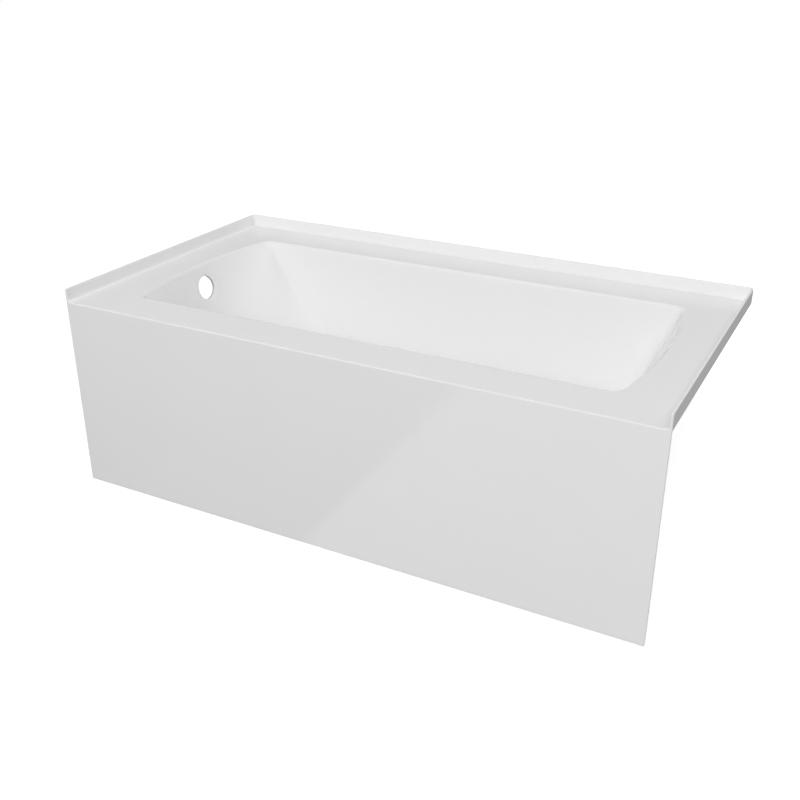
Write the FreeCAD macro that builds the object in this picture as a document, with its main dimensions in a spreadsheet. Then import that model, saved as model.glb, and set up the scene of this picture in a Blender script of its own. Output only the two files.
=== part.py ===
"""Alcove bathtub, 1524 x 813 x 508 mm, with a flat front apron, a tile flange and its supports.

Frame: the origin is on the floor under the middle of the tub, +X runs along the tub from the
drain end to the backrest, +Y from the apron to the long wall and +Z is up. Millimetres.
"""
import FreeCAD, Part
import math
import os
import re

import Sketcher
from FreeCAD import Placement, Rotation, Vector

# ---------------------------------------------------------------- driving dimensions
SIZES = {
    # outside of the tub
    "tub_length": 1524,
    "tub_depth": 813,
    "deck_height": 508,
    "flange_rise": 34.5,
    "flange_wall": 6,
    "flange_cove": 8,
    "edge_round": 2.8,
    # acrylic skin and the glass-fibre laminate behind it
    "skin": 4,
    "laminate": 4,
    "laminate_trim": 3,
    "laminate_cove": 8,
    "lip_round": 9,
    # flat deck left round the basin; the basin lies a little in front of the tub's middle
    "basin_shift": -5,
    "side_deck": 126.5,
    "drain_deck": 109,
    "back_deck": 109,
    # basin, as outlines at three levels: a run is how far a wall has come in from the rim
    "rim_drain_radius": 1340,
    "rim_back_radius": 1340,
    "rim_drain_corner": 22,
    "rim_back_corner": 30,
    "knee_height": 170,
    "knee_side_run": 38,
    "knee_drain_run": 75,
    "knee_back_run": 147,
    "knee_drain_corner": 300,
    "knee_drain_turn": 9,
    "knee_back_radius": 1170,
    "knee_back_corner": 50,
    "floor_height": 90,
    "floor_side_run": 47,
    "floor_drain_run": 93,
    "floor_back_run": 181,
    "floor_drain_corner": 290,
    "floor_drain_turn": 9,
    "floor_back_radius": 1130,
    "floor_back_corner": 70,
    "floor_round": 60,
    # waste and overflow holes
    "drain_setback": 98,
    "drain_radius": 26,
    "recess_radius": 39,
    "recess_depth": 2.5,
    "overflow_drop": 64,
    "overflow_radius": 32.5,
    # apron
    "apron_wall": 4,
    "apron_laminate": 3,
    "apron_laminate_inset": 10,
    # timber
    "board_wall": 12,
    "board_inset": 44,
    "notch_radius": 66,
    "bearer_wall": 38,
    "bearer_lift": 32,
    "bearer_drain_gap": 122,
    "bearer_back_gap": 92,
    "bearer_wall_gap": 84.5,
    "rail_wall": 38,
    "rail_height": 19,
    "rail_inset": 24,
    "base_rail_height": 70,
    "base_rail_lift": 6,
    "rib_wall": 19,
    "first_rib_gap": 318.5,
    "last_rib_gap": 190,
    # levelling feet
    "foot_inset": 59,
    "stud_radius": 5,
    "stud_fit": 0.1,
    "stud_reach": 30,
    "stud_end_radius": 6.5,
    "stud_end_height": 6,
    "collar_radius": 9.5,
    "collar_height": 8,
    "seat_gap": 0.3,
    "pad_radius": 24,
    "pad_top_radius": 13,
    "pad_rim": 4,
    "pad_floor": 4,
    "pad_height": 12,
    "nut_radius": 9.8,
    "nut_height": 8,
    "plate_length": 96,
    "plate_wall": 3,
    "plate_screw_reach": 36,
    # screws and brackets
    "hole_gap": 0.3,
    "screw_radius": 2.2,
    "screw_head_radius": 4.4,
    "screw_head": 2.4,
    "screw_length": 26,
    "board_screw_bite": 8,
    "board_screw_y": 130,
    "bracket_leg": 42,
    "bracket_width": 26,
    "bracket_wall": 2.5,
    "bracket_screw_reach": 28,
}

doc = FreeCAD.newDocument("alcove_bathtub")
sheet = doc.addObject("Spreadsheet::Sheet", "sizes")
for row, (alias, number) in enumerate(SIZES.items(), start=1):
    sheet.set("A%d" % row, alias)
    sheet.set("B%d" % row, str(number))
    sheet.setAlias("B%d" % row, alias)
doc.recompute()

sub_parts = []


# ---------------------------------------------------------------- helpers
def size(name):
    """The number that the sheet holds for one dimension."""
    return float(getattr(sheet, name))


def cells(formula):
    """A formula over the dimensions' names, with each name looked up in the sheet."""
    return re.sub(r"[a-z]\w+", lambda m: "sizes." + m[0] if m[0] in SIZES else m[0], str(formula))


def bind(thing, prop, formula):
    """Tie one property of an object to a formula over the sheet."""
    thing.setExpression(prop, cells(formula))


def finish(thing, label):
    """Name an object as one sub-part of the tub."""
    thing.Label = label
    sub_parts.append(thing)
    return thing


def place(thing, x, y, z):
    """Tie an object's position to three formulas."""
    for axis, formula in zip("xyz", (x, y, z)):
        bind(thing, "Placement.Base." + axis, formula)


def block(name, corner, sides):
    """A box from its lowest corner and its three sides."""
    box = doc.addObject("Part::Box", name)
    for prop, formula in zip(("Length", "Width", "Height"), sides):
        bind(box, prop, formula)
    place(box, *corner)
    return box


def rod(name, centre, radius, height):
    """An upright cylinder from the middle of its foot."""
    cylinder = doc.addObject("Part::Cylinder", name)
    bind(cylinder, "Radius", radius)
    bind(cylinder, "Height", height)
    place(cylinder, *centre)
    return cylinder


def hexagon(name, centre, radius, height):
    """An upright six-sided prism from the middle of its foot."""
    prism = doc.addObject("Part::Prism", name)
    prism.Polygon = 6
    bind(prism, "Circumradius", radius)
    bind(prism, "Height", height)
    place(prism, *centre)
    return prism


def cut(name, base, tools):
    """The base less every tool."""
    result = doc.addObject("Part::Cut", name)
    result.Base = base
    if len(tools) > 1:
        both = doc.addObject("Part::MultiFuse", name + "_tools")
        both.Shapes = tools
        result.Tool = both
    else:
        result.Tool = tools[0]
    return result


def fuse(name, pieces):
    """One solid out of several."""
    result = doc.addObject("Part::MultiFuse", name)
    result.Shapes = pieces
    return result


def group(name, pieces):
    """Several separate solids that share one node."""
    result = doc.addObject("Part::Compound", name)
    result.Links = pieces
    return result


def new_body(label):
    """An empty body."""
    return finish(doc.addObject("PartDesign::Body", label), label)


def sketch_on(body, name, role, lift="0"):
    """A sketch on one of the body's own origin planes, lifted along the plane's normal."""
    sketch = body.newObject("Sketcher::SketchObject", name)
    plane = next(p for p in body.Origin.OriginFeatures if p.Role == role)
    sketch.AttachmentSupport = [(plane, "")]
    sketch.MapMode = "FlatFace"
    bind(sketch, "AttachmentOffset.Base.z", lift)
    return sketch


def fix(sketch, name, constraint, formula):
    """Add a named dimension to a sketch and tie it to a formula."""
    index = sketch.addConstraint(constraint)
    sketch.renameConstraint(index, name)
    bind(sketch, "Constraints." + name, formula)


def rectangle(sketch, x_low, x_high, y_low, y_high):
    """Draw a rectangle whose four sides are tied to formulas."""
    corners = [Vector(-1, -1, 0), Vector(1, -1, 0), Vector(1, 1, 0), Vector(-1, 1, 0)]
    first = sketch.GeometryCount
    for start, end in zip(corners, corners[1:] + corners[:1]):
        sketch.addGeometry(Part.LineSegment(start, end), False)
    for i in range(4):
        side, following = first + i, first + (i + 1) % 4
        sketch.addConstraint(Sketcher.Constraint("Coincident", side, 2, following, 1))
        sketch.addConstraint(Sketcher.Constraint("Vertical" if i % 2 else "Horizontal", side))
    tag = "r%d_" % first
    fix(sketch, tag + "x_low", Sketcher.Constraint("DistanceX", -1, 1, first, 1, -1), x_low)
    fix(sketch, tag + "y_low", Sketcher.Constraint("DistanceY", -1, 1, first, 1, -1), y_low)
    fix(sketch, tag + "x_high", Sketcher.Constraint("DistanceX", -1, 1, first + 2, 1, 1), x_high)
    fix(sketch, tag + "y_high", Sketcher.Constraint("DistanceY", -1, 1, first + 2, 1, 1), y_high)


def circle(sketch, x, y, radius):
    """Draw a circle whose place and radius are tied to formulas."""
    first = sketch.GeometryCount
    sketch.addGeometry(Part.Circle(Vector(1, 1, 0), Vector(0, 0, 1), 5), False)
    tag = "c%d_" % first
    fix(sketch, tag + "x", Sketcher.Constraint("DistanceX", -1, 1, first, 3, 1), x)
    fix(sketch, tag + "y", Sketcher.Constraint("DistanceY", -1, 1, first, 3, 1), y)
    fix(sketch, tag + "radius", Sketcher.Constraint("Radius", first, 5), radius)


def pad(body, sketch, length, downwards=False):
    """Add the sketch's area, as thick as the formula says."""
    feature = body.newObject("PartDesign::Pad", sketch.Name + "_pad")
    feature.Profile = sketch
    bind(feature, "Length", length)
    feature.Reversed = downwards
    return advance(body, feature)


def pocket(body, sketch, length, upwards=False):
    """Cut the sketch's area, as deep as the formula says, and check that it cut something."""
    before = body.Shape.Volume
    feature = body.newObject("PartDesign::Pocket", sketch.Name + "_pocket")
    feature.Profile = sketch
    bind(feature, "Length", length)
    feature.Reversed = upwards
    advance(body, feature)
    if not body.Shape.Volume < before:
        raise RuntimeError(feature.Name + " cuts nothing")
    return feature


def loft(body, sketches, kind):
    """Join outlines at several levels by straight rulings, as added or removed material."""
    feature = body.newObject("PartDesign::" + kind, sketches[0].Name + "_loft")
    feature.Profile = sketches[0]
    feature.Sections = sketches[1:]
    feature.Ruled = True
    return advance(body, feature)


def fillet(body, name, radius, wanted):
    """Round every edge of the body that the test picks."""
    base = body.Tip
    names = ["Edge%d" % (i + 1) for i, edge in enumerate(base.Shape.Edges) if wanted(edge)]
    if not names:
        raise RuntimeError(name + " finds no edge")
    feature = body.newObject("PartDesign::Fillet", name)
    feature.Base = (base, names)
    bind(feature, "Radius", radius)
    return advance(body, feature)


def advance(body, feature):
    """Make a feature the body's last one and bring the body up to date."""
    body.Tip = feature
    doc.recompute()
    if not feature.isValid() or feature.Shape.isNull():
        raise RuntimeError(feature.Name + " failed")
    return feature


def near(a, b):
    """Whether two lengths are the same."""
    return abs(a - b) < 0.01


def level_edge(edge, z):
    """Whether an edge lies all at one height."""
    box = edge.BoundBox
    return near(box.ZMin, z) and near(box.ZMax, z)


def upright_edge(edge, x, y):
    """Whether an edge stands upright at one place in the plan."""
    box = edge.BoundBox
    return near(box.XLength, 0) and near(box.YLength, 0) and near(box.XMin, x) and near(box.YMin, y)


# ---------------------------------------------------------------- basin outlines
def outline_numbers(level, grow):
    """One level's outline as numbers: half width, then reach, radius and corner of each end."""
    def run(side):
        """How far a wall has come in from the rim."""
        return 0 if level == "rim" else size("%s_%s_run" % (level, side))

    half_width = half_depth - size("side_deck") - run("side") + grow
    ends = []
    for end in ("drain", "back"):
        corner = size("%s_%s_corner" % (level, end)) + grow
        if end == "drain" and level != "rim":
            turn = math.radians(size(level + "_drain_turn"))
            radius = corner + (half_width - corner) / math.cos(turn)
        else:
            radius = size("%s_%s_radius" % (level, end)) + grow
        ends.append((half_length - size(end + "_deck") - run(end) + grow, radius, corner))
    return half_width, ends


def outline_formulas(level, grow):
    """The same outline as formulas over the sheet."""
    def run(side):
        """How far a wall has come in from the rim."""
        return "0" if level == "rim" else "%s_%s_run" % (level, side)

    half_width = "tub_depth / 2 - side_deck - %s + %s" % (run("side"), grow)
    ends = []
    for end in ("drain", "back"):
        corner = "%s_%s_corner + %s" % (level, end, grow)
        if end == "drain" and level != "rim":
            spare = "(%s - (%s))" % (half_width, corner)
            radius = "%s + %s / cos(%s_drain_turn * 1 deg)" % (corner, spare, level)
        else:
            radius = "%s_%s_radius + %s" % (level, end, grow)
        ends.append(("tub_length / 2 - %s_deck - %s + %s" % (end, run(end), grow), radius, corner))
    return half_width, ends


def basin_outline(body, name, level, height, grow):
    """Draw one level of the basin: two straight sides, two bowed ends and four round corners.

    The outline grows outwards by the lengths in the list grow.
    """
    sketch = sketch_on(body, name, "XY_Plane", height)
    bind(sketch, "AttachmentOffset.Base.y", "basin_shift")
    sign = [-1.0 if g.startswith("-") else 1.0 for g in grow]
    numbers = outline_numbers(level, sum(s * size(g.lstrip("-")) for s, g in zip(sign, grow)))
    half, ends = numbers
    tangent_x, bow_x, split = [], [], []
    for (reach, radius, corner), side in zip(ends, (-1, 1)):
        turn = math.acos((half - corner) / (radius - corner))
        bow_x.append(side * (reach - radius))
        tangent_x.append(side * (reach - radius + (radius - corner) * math.sin(turn)))
        split.append(turn)
    (_, drain_radius, drain_corner), (_, back_radius, back_corner) = ends
    left, right = tangent_x
    quarter = math.pi / 2

    def arc(x, y, radius, start, end):
        """Draw one arc between two directions."""
        ring = Part.Circle(Vector(x, y, 0), Vector(0, 0, 1), radius)
        sketch.addGeometry(Part.ArcOfCircle(ring, start, end), False)

    sketch.addGeometry(Part.LineSegment(Vector(left, half, 0), Vector(right, half, 0)), False)
    arc(right, half - back_corner, back_corner, quarter - split[1], quarter)
    arc(bow_x[1], 0, back_radius, split[1] - quarter, quarter - split[1])
    arc(right, back_corner - half, back_corner, -quarter, split[1] - quarter)
    sketch.addGeometry(Part.LineSegment(Vector(right, -half, 0), Vector(left, -half, 0)), False)
    arc(left, drain_corner - half, drain_corner, 3 * quarter - split[0], 3 * quarter)
    arc(bow_x[0], 0, drain_radius, quarter + split[0], 3 * quarter - split[0])
    arc(left, half - drain_corner, drain_corner, quarter, quarter + split[0])

    smooth = [(0, 2, 1, 2), (1, 1, 2, 2), (2, 1, 3, 2), (3, 1, 4, 1),
              (4, 2, 5, 2), (5, 1, 6, 2), (6, 1, 7, 2), (7, 1, 0, 1)]
    for joint in smooth:
        sketch.addConstraint(Sketcher.Constraint("Tangent", *joint))
    for index in (0, 4):
        sketch.addConstraint(Sketcher.Constraint("Horizontal", index))
    for index in (2, 6):
        sketch.addConstraint(Sketcher.Constraint("PointOnObject", index, 3, -1))
    sketch.addConstraint(Sketcher.Constraint("Equal", 1, 3))
    sketch.addConstraint(Sketcher.Constraint("Equal", 5, 7))

    more = " + ".join(grow) if grow else "0"
    half_formula, end_formulas = outline_formulas(level, more)
    fix(sketch, "back_side", Sketcher.Constraint("DistanceY", -1, 1, 0, 1, half), half_formula)
    fix(sketch, "front_side", Sketcher.Constraint("DistanceY", 4, 1, -1, 1, half), half_formula)
    for (reach, radius, corner), (_, radius_now, corner_now), bow, end, side, x in zip(
            end_formulas, ends, (6, 2), ("drain", "back"), (-1, 1), bow_x):
        corner_arc = 7 if end == "drain" else 1
        fix(sketch, end + "_corner", Sketcher.Constraint("Radius", corner_arc, corner_now), corner)
        fix(sketch, end + "_radius", Sketcher.Constraint("Radius", bow, radius_now), radius)
        fix(sketch, end + "_centre", Sketcher.Constraint("DistanceX", -1, 1, bow, 3, x),
            "%d * ((%s) - (%s))" % (side, reach, radius))
    return sketch


def basin_outlines(body, name, grow, floor_drop):
    """The basin's three outlines, grown outwards, with the floor lowered as much."""
    return [basin_outline(body, name + "_rim", "rim", "deck_height", grow),
            basin_outline(body, name + "_knee", "knee", "knee_height", grow),
            basin_outline(body, name + "_floor", "floor", "floor_height - " + floor_drop, grow)]


half_length = size("tub_length") / 2
half_depth = size("tub_depth") / 2
deck = size("deck_height")
rim_reach = half_length - min(size("drain_deck"), size("back_deck"))
DRAIN_X = "(-tub_length / 2 + drain_deck + floor_drain_run + drain_setback)"


# ---------------------------------------------------------------- acrylic shell
def make_shell():
    """The white skin in one piece: deck, tile flange on three sides, and the basin."""
    body = new_body("acrylic_shell")
    tray = sketch_on(body, "tray", "XY_Plane", "deck_height - skin")
    rectangle(tray, "-tub_length / 2", "tub_length / 2", "-tub_depth / 2", "tub_depth / 2")
    pad(body, tray, "skin + flange_rise")
    inside = sketch_on(body, "tray_inside", "XY_Plane", "deck_height + flange_rise")
    rectangle(inside, "-tub_length / 2 + flange_wall", "tub_length / 2 - flange_wall",
              "-tub_depth / 2 - 1", "tub_depth / 2 - flange_wall")
    pocket(body, inside, "flange_rise")

    inner_x = half_length - size("flange_wall")
    inner_y = half_depth - size("flange_wall")
    fillet(body, "flange_inner_corners", "flange_cove",
           lambda e: any(upright_edge(e, s * inner_x, inner_y) for s in (-1, 1)))
    fillet(body, "flange_outer_corners", "flange_cove + flange_wall",
           lambda e: any(upright_edge(e, s * half_length, half_depth) for s in (-1, 1)))
    fillet(body, "flange_cove_edges", "flange_cove",
           lambda e: level_edge(e, deck) and e.BoundBox.YMax > 1 - half_depth)
    under = deck - size("skin")
    fillet(body, "outer_edges", "edge_round",
           lambda e: level_edge(e, deck + size("flange_rise"))
           or near(e.BoundBox.YMax, -half_depth) and e.BoundBox.ZMax > under + 1)

    loft(body, basin_outlines(body, "outside", ["skin"], "skin"), "AdditiveLoft")
    loft(body, basin_outlines(body, "inside", [], "0"), "SubtractiveLoft")
    floor = size("floor_height")
    fillet(body, "floor_inside", "floor_round", lambda e: level_edge(e, floor))
    fillet(body, "floor_outside", "floor_round + skin", lambda e: level_edge(e, floor - size("skin")))
    boss = sketch_on(body, "recess_boss", "XY_Plane", "floor_height - skin - recess_depth")
    circle(boss, DRAIN_X, "basin_shift", "recess_radius + skin")
    pad(body, boss, "skin + recess_depth")
    inner_edge = half_depth - size("side_deck") + 1
    fillet(body, "lip", "lip_round",
           lambda e: level_edge(e, deck) and abs(e.BoundBox.Center.y - size("basin_shift")) < inner_edge
           and abs(e.BoundBox.Center.x) < rim_reach + 1)

    recess = sketch_on(body, "recess", "XY_Plane", "floor_height")
    circle(recess, DRAIN_X, "basin_shift", "recess_radius")
    pocket(body, recess, "recess_depth")
    drill_basin(body, "skin + recess_depth")
    return body


def drill_basin(body, drain_depth):
    """Cut the round waste hole down through the floor and the overflow hole through the end."""
    waste = sketch_on(body, body.Name + "_waste", "XY_Plane", "floor_height")
    circle(waste, DRAIN_X, "basin_shift", "drain_radius")
    pocket(body, waste, "2 * (%s) + laminate" % drain_depth)
    overflow = sketch_on(body, body.Name + "_overflow", "YZ_Plane", "0")
    overflow.AttachmentOffset = Placement(Vector(0, 0, 0), Rotation(Vector(1, 0, 0), 0))
    slope = "knee_drain_run / (deck_height - knee_height)"
    bind(overflow, "AttachmentOffset.Base.x", "basin_shift")
    bind(overflow, "AttachmentOffset.Base.y", "deck_height - overflow_drop")
    bind(overflow, "AttachmentOffset.Base.z", "-tub_length / 2 + drain_deck + overflow_drop * " + slope)
    bind(overflow, "AttachmentOffset.Rotation.Angle", "-atan(%s)" % slope)
    circle(overflow, "0", "0", "overflow_radius")
    hole = pocket(body, overflow, "6 * (skin + laminate)")
    hole.Midplane = True
    return advance(body, hole)


# ---------------------------------------------------------------- glass-fibre laminate
def make_laminate():
    """The glass-fibre layer bonded to the back of the deck and all round the basin."""
    body = new_body("glass_fibre_backing")
    under = "deck_height - skin"
    slab = sketch_on(body, "slab", "XY_Plane", under + " - laminate")
    rectangle(slab, "-tub_length / 2 + laminate_trim", "tub_length / 2 - laminate_trim",
              "-tub_depth / 2 + apron_wall", "tub_depth / 2 - laminate_trim")
    pad(body, slab, "laminate")
    loft(body, basin_outlines(body, "wrap", ["skin", "laminate"], "skin - laminate"), "AdditiveLoft")
    above = sketch_on(body, "above_slab", "XY_Plane", under)
    rectangle(above, "-tub_length / 2", "tub_length / 2", "-tub_depth / 2", "tub_depth / 2")
    pocket(body, above, "2 * skin", upwards=True)
    loft(body, basin_outlines(body, "core", ["skin"], "skin"), "SubtractiveLoft")
    inner_floor = size("floor_height") - size("skin")
    outer_floor = inner_floor - size("laminate")
    slab_under = deck - size("skin") - size("laminate")
    fillet(body, "floor_core", "floor_round + skin", lambda e: level_edge(e, inner_floor))
    fillet(body, "floor_wrap", "floor_round + skin + laminate", lambda e: level_edge(e, outer_floor))
    fillet(body, "neck", "laminate_cove",
           lambda e: level_edge(e, slab_under) and e.BoundBox.YMin > 1 - half_depth + size("apron_wall")
           and e.BoundBox.YMax < half_depth - size("laminate_trim") - 1
           and abs(e.BoundBox.Center.x) < rim_reach + size("skin") + size("laminate") + 1)
    boss = sketch_on(body, "wrap_boss", "XY_Plane", "floor_height - skin - laminate - recess_depth")
    circle(boss, DRAIN_X, "basin_shift", "recess_radius + skin + laminate")
    pad(body, boss, "laminate + recess_depth")
    seat = sketch_on(body, "boss_seat", "XY_Plane", "floor_height - skin")
    circle(seat, DRAIN_X, "basin_shift", "recess_radius + skin")
    pocket(body, seat, "recess_depth")
    drill_basin(body, "skin + recess_depth")
    return body


# ---------------------------------------------------------------- apron and timber
APRON_BACK = "(-tub_depth / 2 + apron_wall + apron_laminate)"
RAIL_BACK = "(-tub_depth / 2 + apron_wall + apron_laminate + rail_wall)"
RAIL_TOP = "(deck_height - skin - laminate)"
RAIL_LOW = "(deck_height - skin - laminate - rail_height)"
BOARD_TOP = "(floor_height - skin - laminate)"
BEARER_TOP = "(floor_height - skin - laminate - board_wall)"
BEARER_HEIGHT = "(floor_height - skin - laminate - board_wall - bearer_lift)"
PLATE_LOW = "(bearer_lift - plate_wall)"
NUT_LOW = "(bearer_lift - plate_wall - nut_height)"
BEARER_BACK = "(tub_depth / 2 - bearer_wall_gap)"
RIBS = 4
BEARERS = {"drain_end": -1, "middle": 0, "backrest_end": 1}
SIDES = {"front": -1, "back": 1}


def bearer_x(step):
    """Where one cross bearer's middle lies: past the waste, under the backrest or halfway."""
    first = "(%s + bearer_drain_gap)" % DRAIN_X
    last = "(tub_length / 2 - back_deck - floor_back_run - bearer_back_gap)"
    return {-1: first, 0: "((%s + %s) / 2)" % (first, last), 1: last}[step]


def foot_y(side):
    """Where the feet on one side stand across the tub."""
    return "(basin_shift + %d * (%s - foot_inset - basin_shift))" % (side, BEARER_BACK)


def rib_x(i):
    """Where the middle of one of the apron's evenly spaced ribs lies along the tub."""
    between = "(tub_length - first_rib_gap - last_rib_gap)"
    return "(-tub_length / 2 + first_rib_gap + %s * %d / %d)" % (between, i, RIBS - 1)


def make_apron():
    """The flat front skirt, and the thinner laminate that stiffens it from behind."""
    body = new_body("apron_panel")
    plan = sketch_on(body, "apron_plan", "XY_Plane", "0")
    rectangle(plan, "-tub_length / 2", "tub_length / 2", "-tub_depth / 2", "-tub_depth / 2 + apron_wall")
    pad(body, plan, "deck_height - skin")
    fillet(body, "apron_corners", "edge_round",
           lambda e: any(upright_edge(e, s * half_length, -half_depth) for s in (-1, 1)))
    backing = block("apron_laminate_sheet",
                    ("-tub_length / 2 + apron_laminate_inset", "-tub_depth / 2 + apron_wall",
                     "apron_laminate_inset"),
                    ("tub_length - 2 * apron_laminate_inset", "apron_laminate",
                     "%s - apron_laminate_inset" % RAIL_TOP))
    finish(backing, "apron_laminate")


def make_rails():
    """The four timber rails under the deck, the apron's base rail and its upright ribs."""
    long_side = "tub_length - 2 * rail_inset"
    left = "-tub_length / 2 + rail_inset"
    back_low = "tub_depth / 2 - rail_inset - rail_wall"
    between = "%s - %s" % (back_low, RAIL_BACK)
    finish(block("front_rail", (left, APRON_BACK, RAIL_LOW), (long_side, "rail_wall", "rail_height")),
           "rim_rail_front")
    finish(block("back_rail", (left, back_low, RAIL_LOW), (long_side, "rail_wall", "rail_height")),
           "rim_rail_back")
    finish(block("drain_rail", (left, RAIL_BACK, RAIL_LOW), ("rail_wall", between, "rail_height")),
           "rim_rail_drain_end")
    finish(block("backrest_rail", ("tub_length / 2 - rail_inset - rail_wall", RAIL_BACK, RAIL_LOW),
                 ("rail_wall", between, "rail_height")),
           "rim_rail_backrest_end")
    rail = block("base_rail_bar", (left, APRON_BACK, "base_rail_lift"),
                 (long_side, "rail_wall", "base_rail_height"))
    pilots = [bracket_screw_hole("base_rail_pilot_" + end, step, "rail")
              for end, step in BEARERS.items()]
    finish(cut("base_rail_drilled", rail, pilots), "apron_base_rail")
    rib_low = "base_rail_lift + base_rail_height"
    for i in range(RIBS):
        rib = block("rib_%d" % i, ("%s - rib_wall / 2" % rib_x(i), APRON_BACK, rib_low),
                    ("rib_wall", "rail_wall", "%s - (%s)" % (RAIL_LOW, rib_low)))
        finish(rib, "apron_rib_%d" % (i + 1))


def make_board():
    """The flat board glassed under the basin's floor, notched round the waste."""
    body = new_body("base_board")
    outline = basin_outline(body, "board_outline", "floor", BEARER_TOP, ["-board_inset"])
    pad(body, outline, "board_wall")
    notch = sketch_on(body, "board_notch", "XY_Plane", BOARD_TOP)
    rectangle(notch, "-tub_length / 2", DRAIN_X, "basin_shift - notch_radius",
              "basin_shift + notch_radius")
    pocket(body, notch, "board_wall")
    bay = sketch_on(body, "board_bay", "XY_Plane", BOARD_TOP)
    circle(bay, DRAIN_X, "basin_shift", "notch_radius")
    pocket(body, bay, "board_wall")
    holes = sketch_on(body, "board_pilots", "XY_Plane", BEARER_TOP)
    for step in BEARERS.values():
        for side in SIDES.values():
            circle(holes, bearer_x(step), "basin_shift + %d * board_screw_y" % side,
                   "screw_radius + hole_gap")
    pocket(body, holes, "board_screw_bite + hole_gap", upwards=True)


def make_bearers():
    """The three cross bearers under the board, drilled for studs and screws."""
    for end, step in BEARERS.items():
        bar = block("bar_" + end, ("%s - bearer_wall / 2" % bearer_x(step), RAIL_BACK, "bearer_lift"),
                    ("bearer_wall", "%s - %s" % (BEARER_BACK, RAIL_BACK), BEARER_HEIGHT))
        holes = [bracket_screw_hole("bar_side_pilot_" + end, step, "bearer")]
        for side_name, side in SIDES.items():
            tag = "%s_%s" % (end, side_name)
            holes.append(rod("bar_well_" + tag, (bearer_x(step), foot_y(side), "bearer_lift"),
                             "stud_radius + 1", "stud_reach + 1"))
            holes.append(rod("bar_board_pilot_" + tag,
                             (bearer_x(step), "basin_shift + %d * board_screw_y" % side, "bearer_lift"),
                             "screw_radius + hole_gap", BEARER_HEIGHT))
            for reach in SIDES.values():
                holes.append(rod("bar_plate_pilot_%s_%d" % (tag, reach),
                                 (bearer_x(step), plate_screw_y(side, reach), "bearer_lift"),
                                 "screw_radius + hole_gap", "screw_length"))
        finish(cut("bearer_drilled_" + end, bar, holes), "bearer_" + end)


# ---------------------------------------------------------------- feet, screws and brackets
def plate_screw_y(side, reach):
    """Where a foot plate's screw lies across the tub."""
    return "%s + %d * plate_screw_reach" % (foot_y(side), reach)


def each_foot():
    """The name, bearer step and side of every foot, drain end first."""
    return [("%s_%s" % (side_name, end), step, side)
            for end, step in BEARERS.items() for side_name, side in SIDES.items()]


def make_feet():
    """The six levelling feet: a stud with a hexagon to turn it by, in a round pad."""
    for tag, step, side in each_foot():
        x, y = bearer_x(step), foot_y(side)
        shaft = rod("shaft_" + tag, (x, y, "pad_floor"), "stud_radius",
                    "bearer_lift + stud_reach - pad_floor")
        end = rod("stud_end_" + tag, (x, y, "pad_floor"), "stud_end_radius", "stud_end_height")
        collar = hexagon("collar_" + tag, (x, y, "%s - seat_gap - collar_height" % NUT_LOW),
                         "collar_radius", "collar_height")
        finish(fuse("stud_" + tag, [shaft, end, collar]), "foot_stud_" + tag)

        rim = rod("pad_rim_" + tag, (x, y, "0"), "pad_radius", "pad_rim")
        cone = doc.addObject("Part::Cone", "pad_cone_" + tag)
        bind(cone, "Radius1", "pad_radius")
        bind(cone, "Radius2", "pad_top_radius")
        bind(cone, "Height", "pad_height - pad_rim")
        place(cone, x, y, "pad_rim")
        chamber = rod("pad_chamber_" + tag, (x, y, "pad_floor"), "stud_end_radius + stud_fit",
                      "stud_end_height + seat_gap")
        throat = rod("pad_throat_" + tag, (x, y, "pad_floor"), "stud_radius + seat_gap", "pad_height")
        finish(cut("pad_" + tag, fuse("pad_blank_" + tag, [rim, cone]), [chamber, throat]),
               "foot_pad_" + tag)


def make_foot_plates():
    """The steel plate under each bearer, with its threaded nut and its two screws."""
    plates, nuts, screws = [], [], []
    for tag, step, side in each_foot():
        x, y = bearer_x(step), foot_y(side)
        sheet_steel = block("plate_blank_" + tag,
                            ("%s - bearer_wall / 2" % x, "%s - plate_length / 2" % y, PLATE_LOW),
                            ("bearer_wall", "plate_length", "plate_wall"))
        holes = [rod("plate_hole_" + tag, (x, y, PLATE_LOW), "stud_radius + hole_gap", "plate_wall")]
        for reach in SIDES.values():
            screw_y = plate_screw_y(side, reach)
            holes.append(rod("plate_screw_hole_%s_%d" % (tag, reach), (x, screw_y, PLATE_LOW),
                             "screw_radius + hole_gap", "plate_wall"))
            head = rod("plate_screw_head_%s_%d" % (tag, reach),
                       (x, screw_y, "%s - screw_head" % PLATE_LOW), "screw_head_radius", "screw_head")
            shank = rod("plate_screw_shank_%s_%d" % (tag, reach), (x, screw_y, PLATE_LOW),
                        "screw_radius", "screw_length")
            screws.append(fuse("plate_screw_%s_%d" % (tag, reach), [head, shank]))
        plates.append(cut("plate_" + tag, sheet_steel, holes))
        bore = rod("nut_bore_" + tag, (x, y, NUT_LOW), "stud_radius + stud_fit", "nut_height")
        blank = hexagon("nut_blank_" + tag, (x, y, NUT_LOW), "nut_radius", "nut_height")
        nuts.append(cut("nut_" + tag, blank, [bore]))
    finish(group("all_plates", plates), "foot_plates")
    finish(group("all_nuts", nuts), "foot_nuts")
    finish(group("all_plate_screws", screws), "foot_plate_screws")


def make_board_screws():
    """The long screws that go up through the bearers into the base board."""
    screws = []
    for tag, step, side in each_foot():
        x, y = bearer_x(step), "basin_shift + %d * board_screw_y" % side
        head = rod("board_screw_head_" + tag, (x, y, "bearer_lift - screw_head"),
                   "screw_head_radius", "screw_head")
        shank = rod("board_screw_shank_" + tag, (x, y, "bearer_lift"), "screw_radius",
                    "%s + board_screw_bite" % BEARER_HEIGHT)
        screws.append(fuse("board_screw_" + tag, [head, shank]))
    finish(group("all_board_screws", screws), "board_screws")


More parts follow.
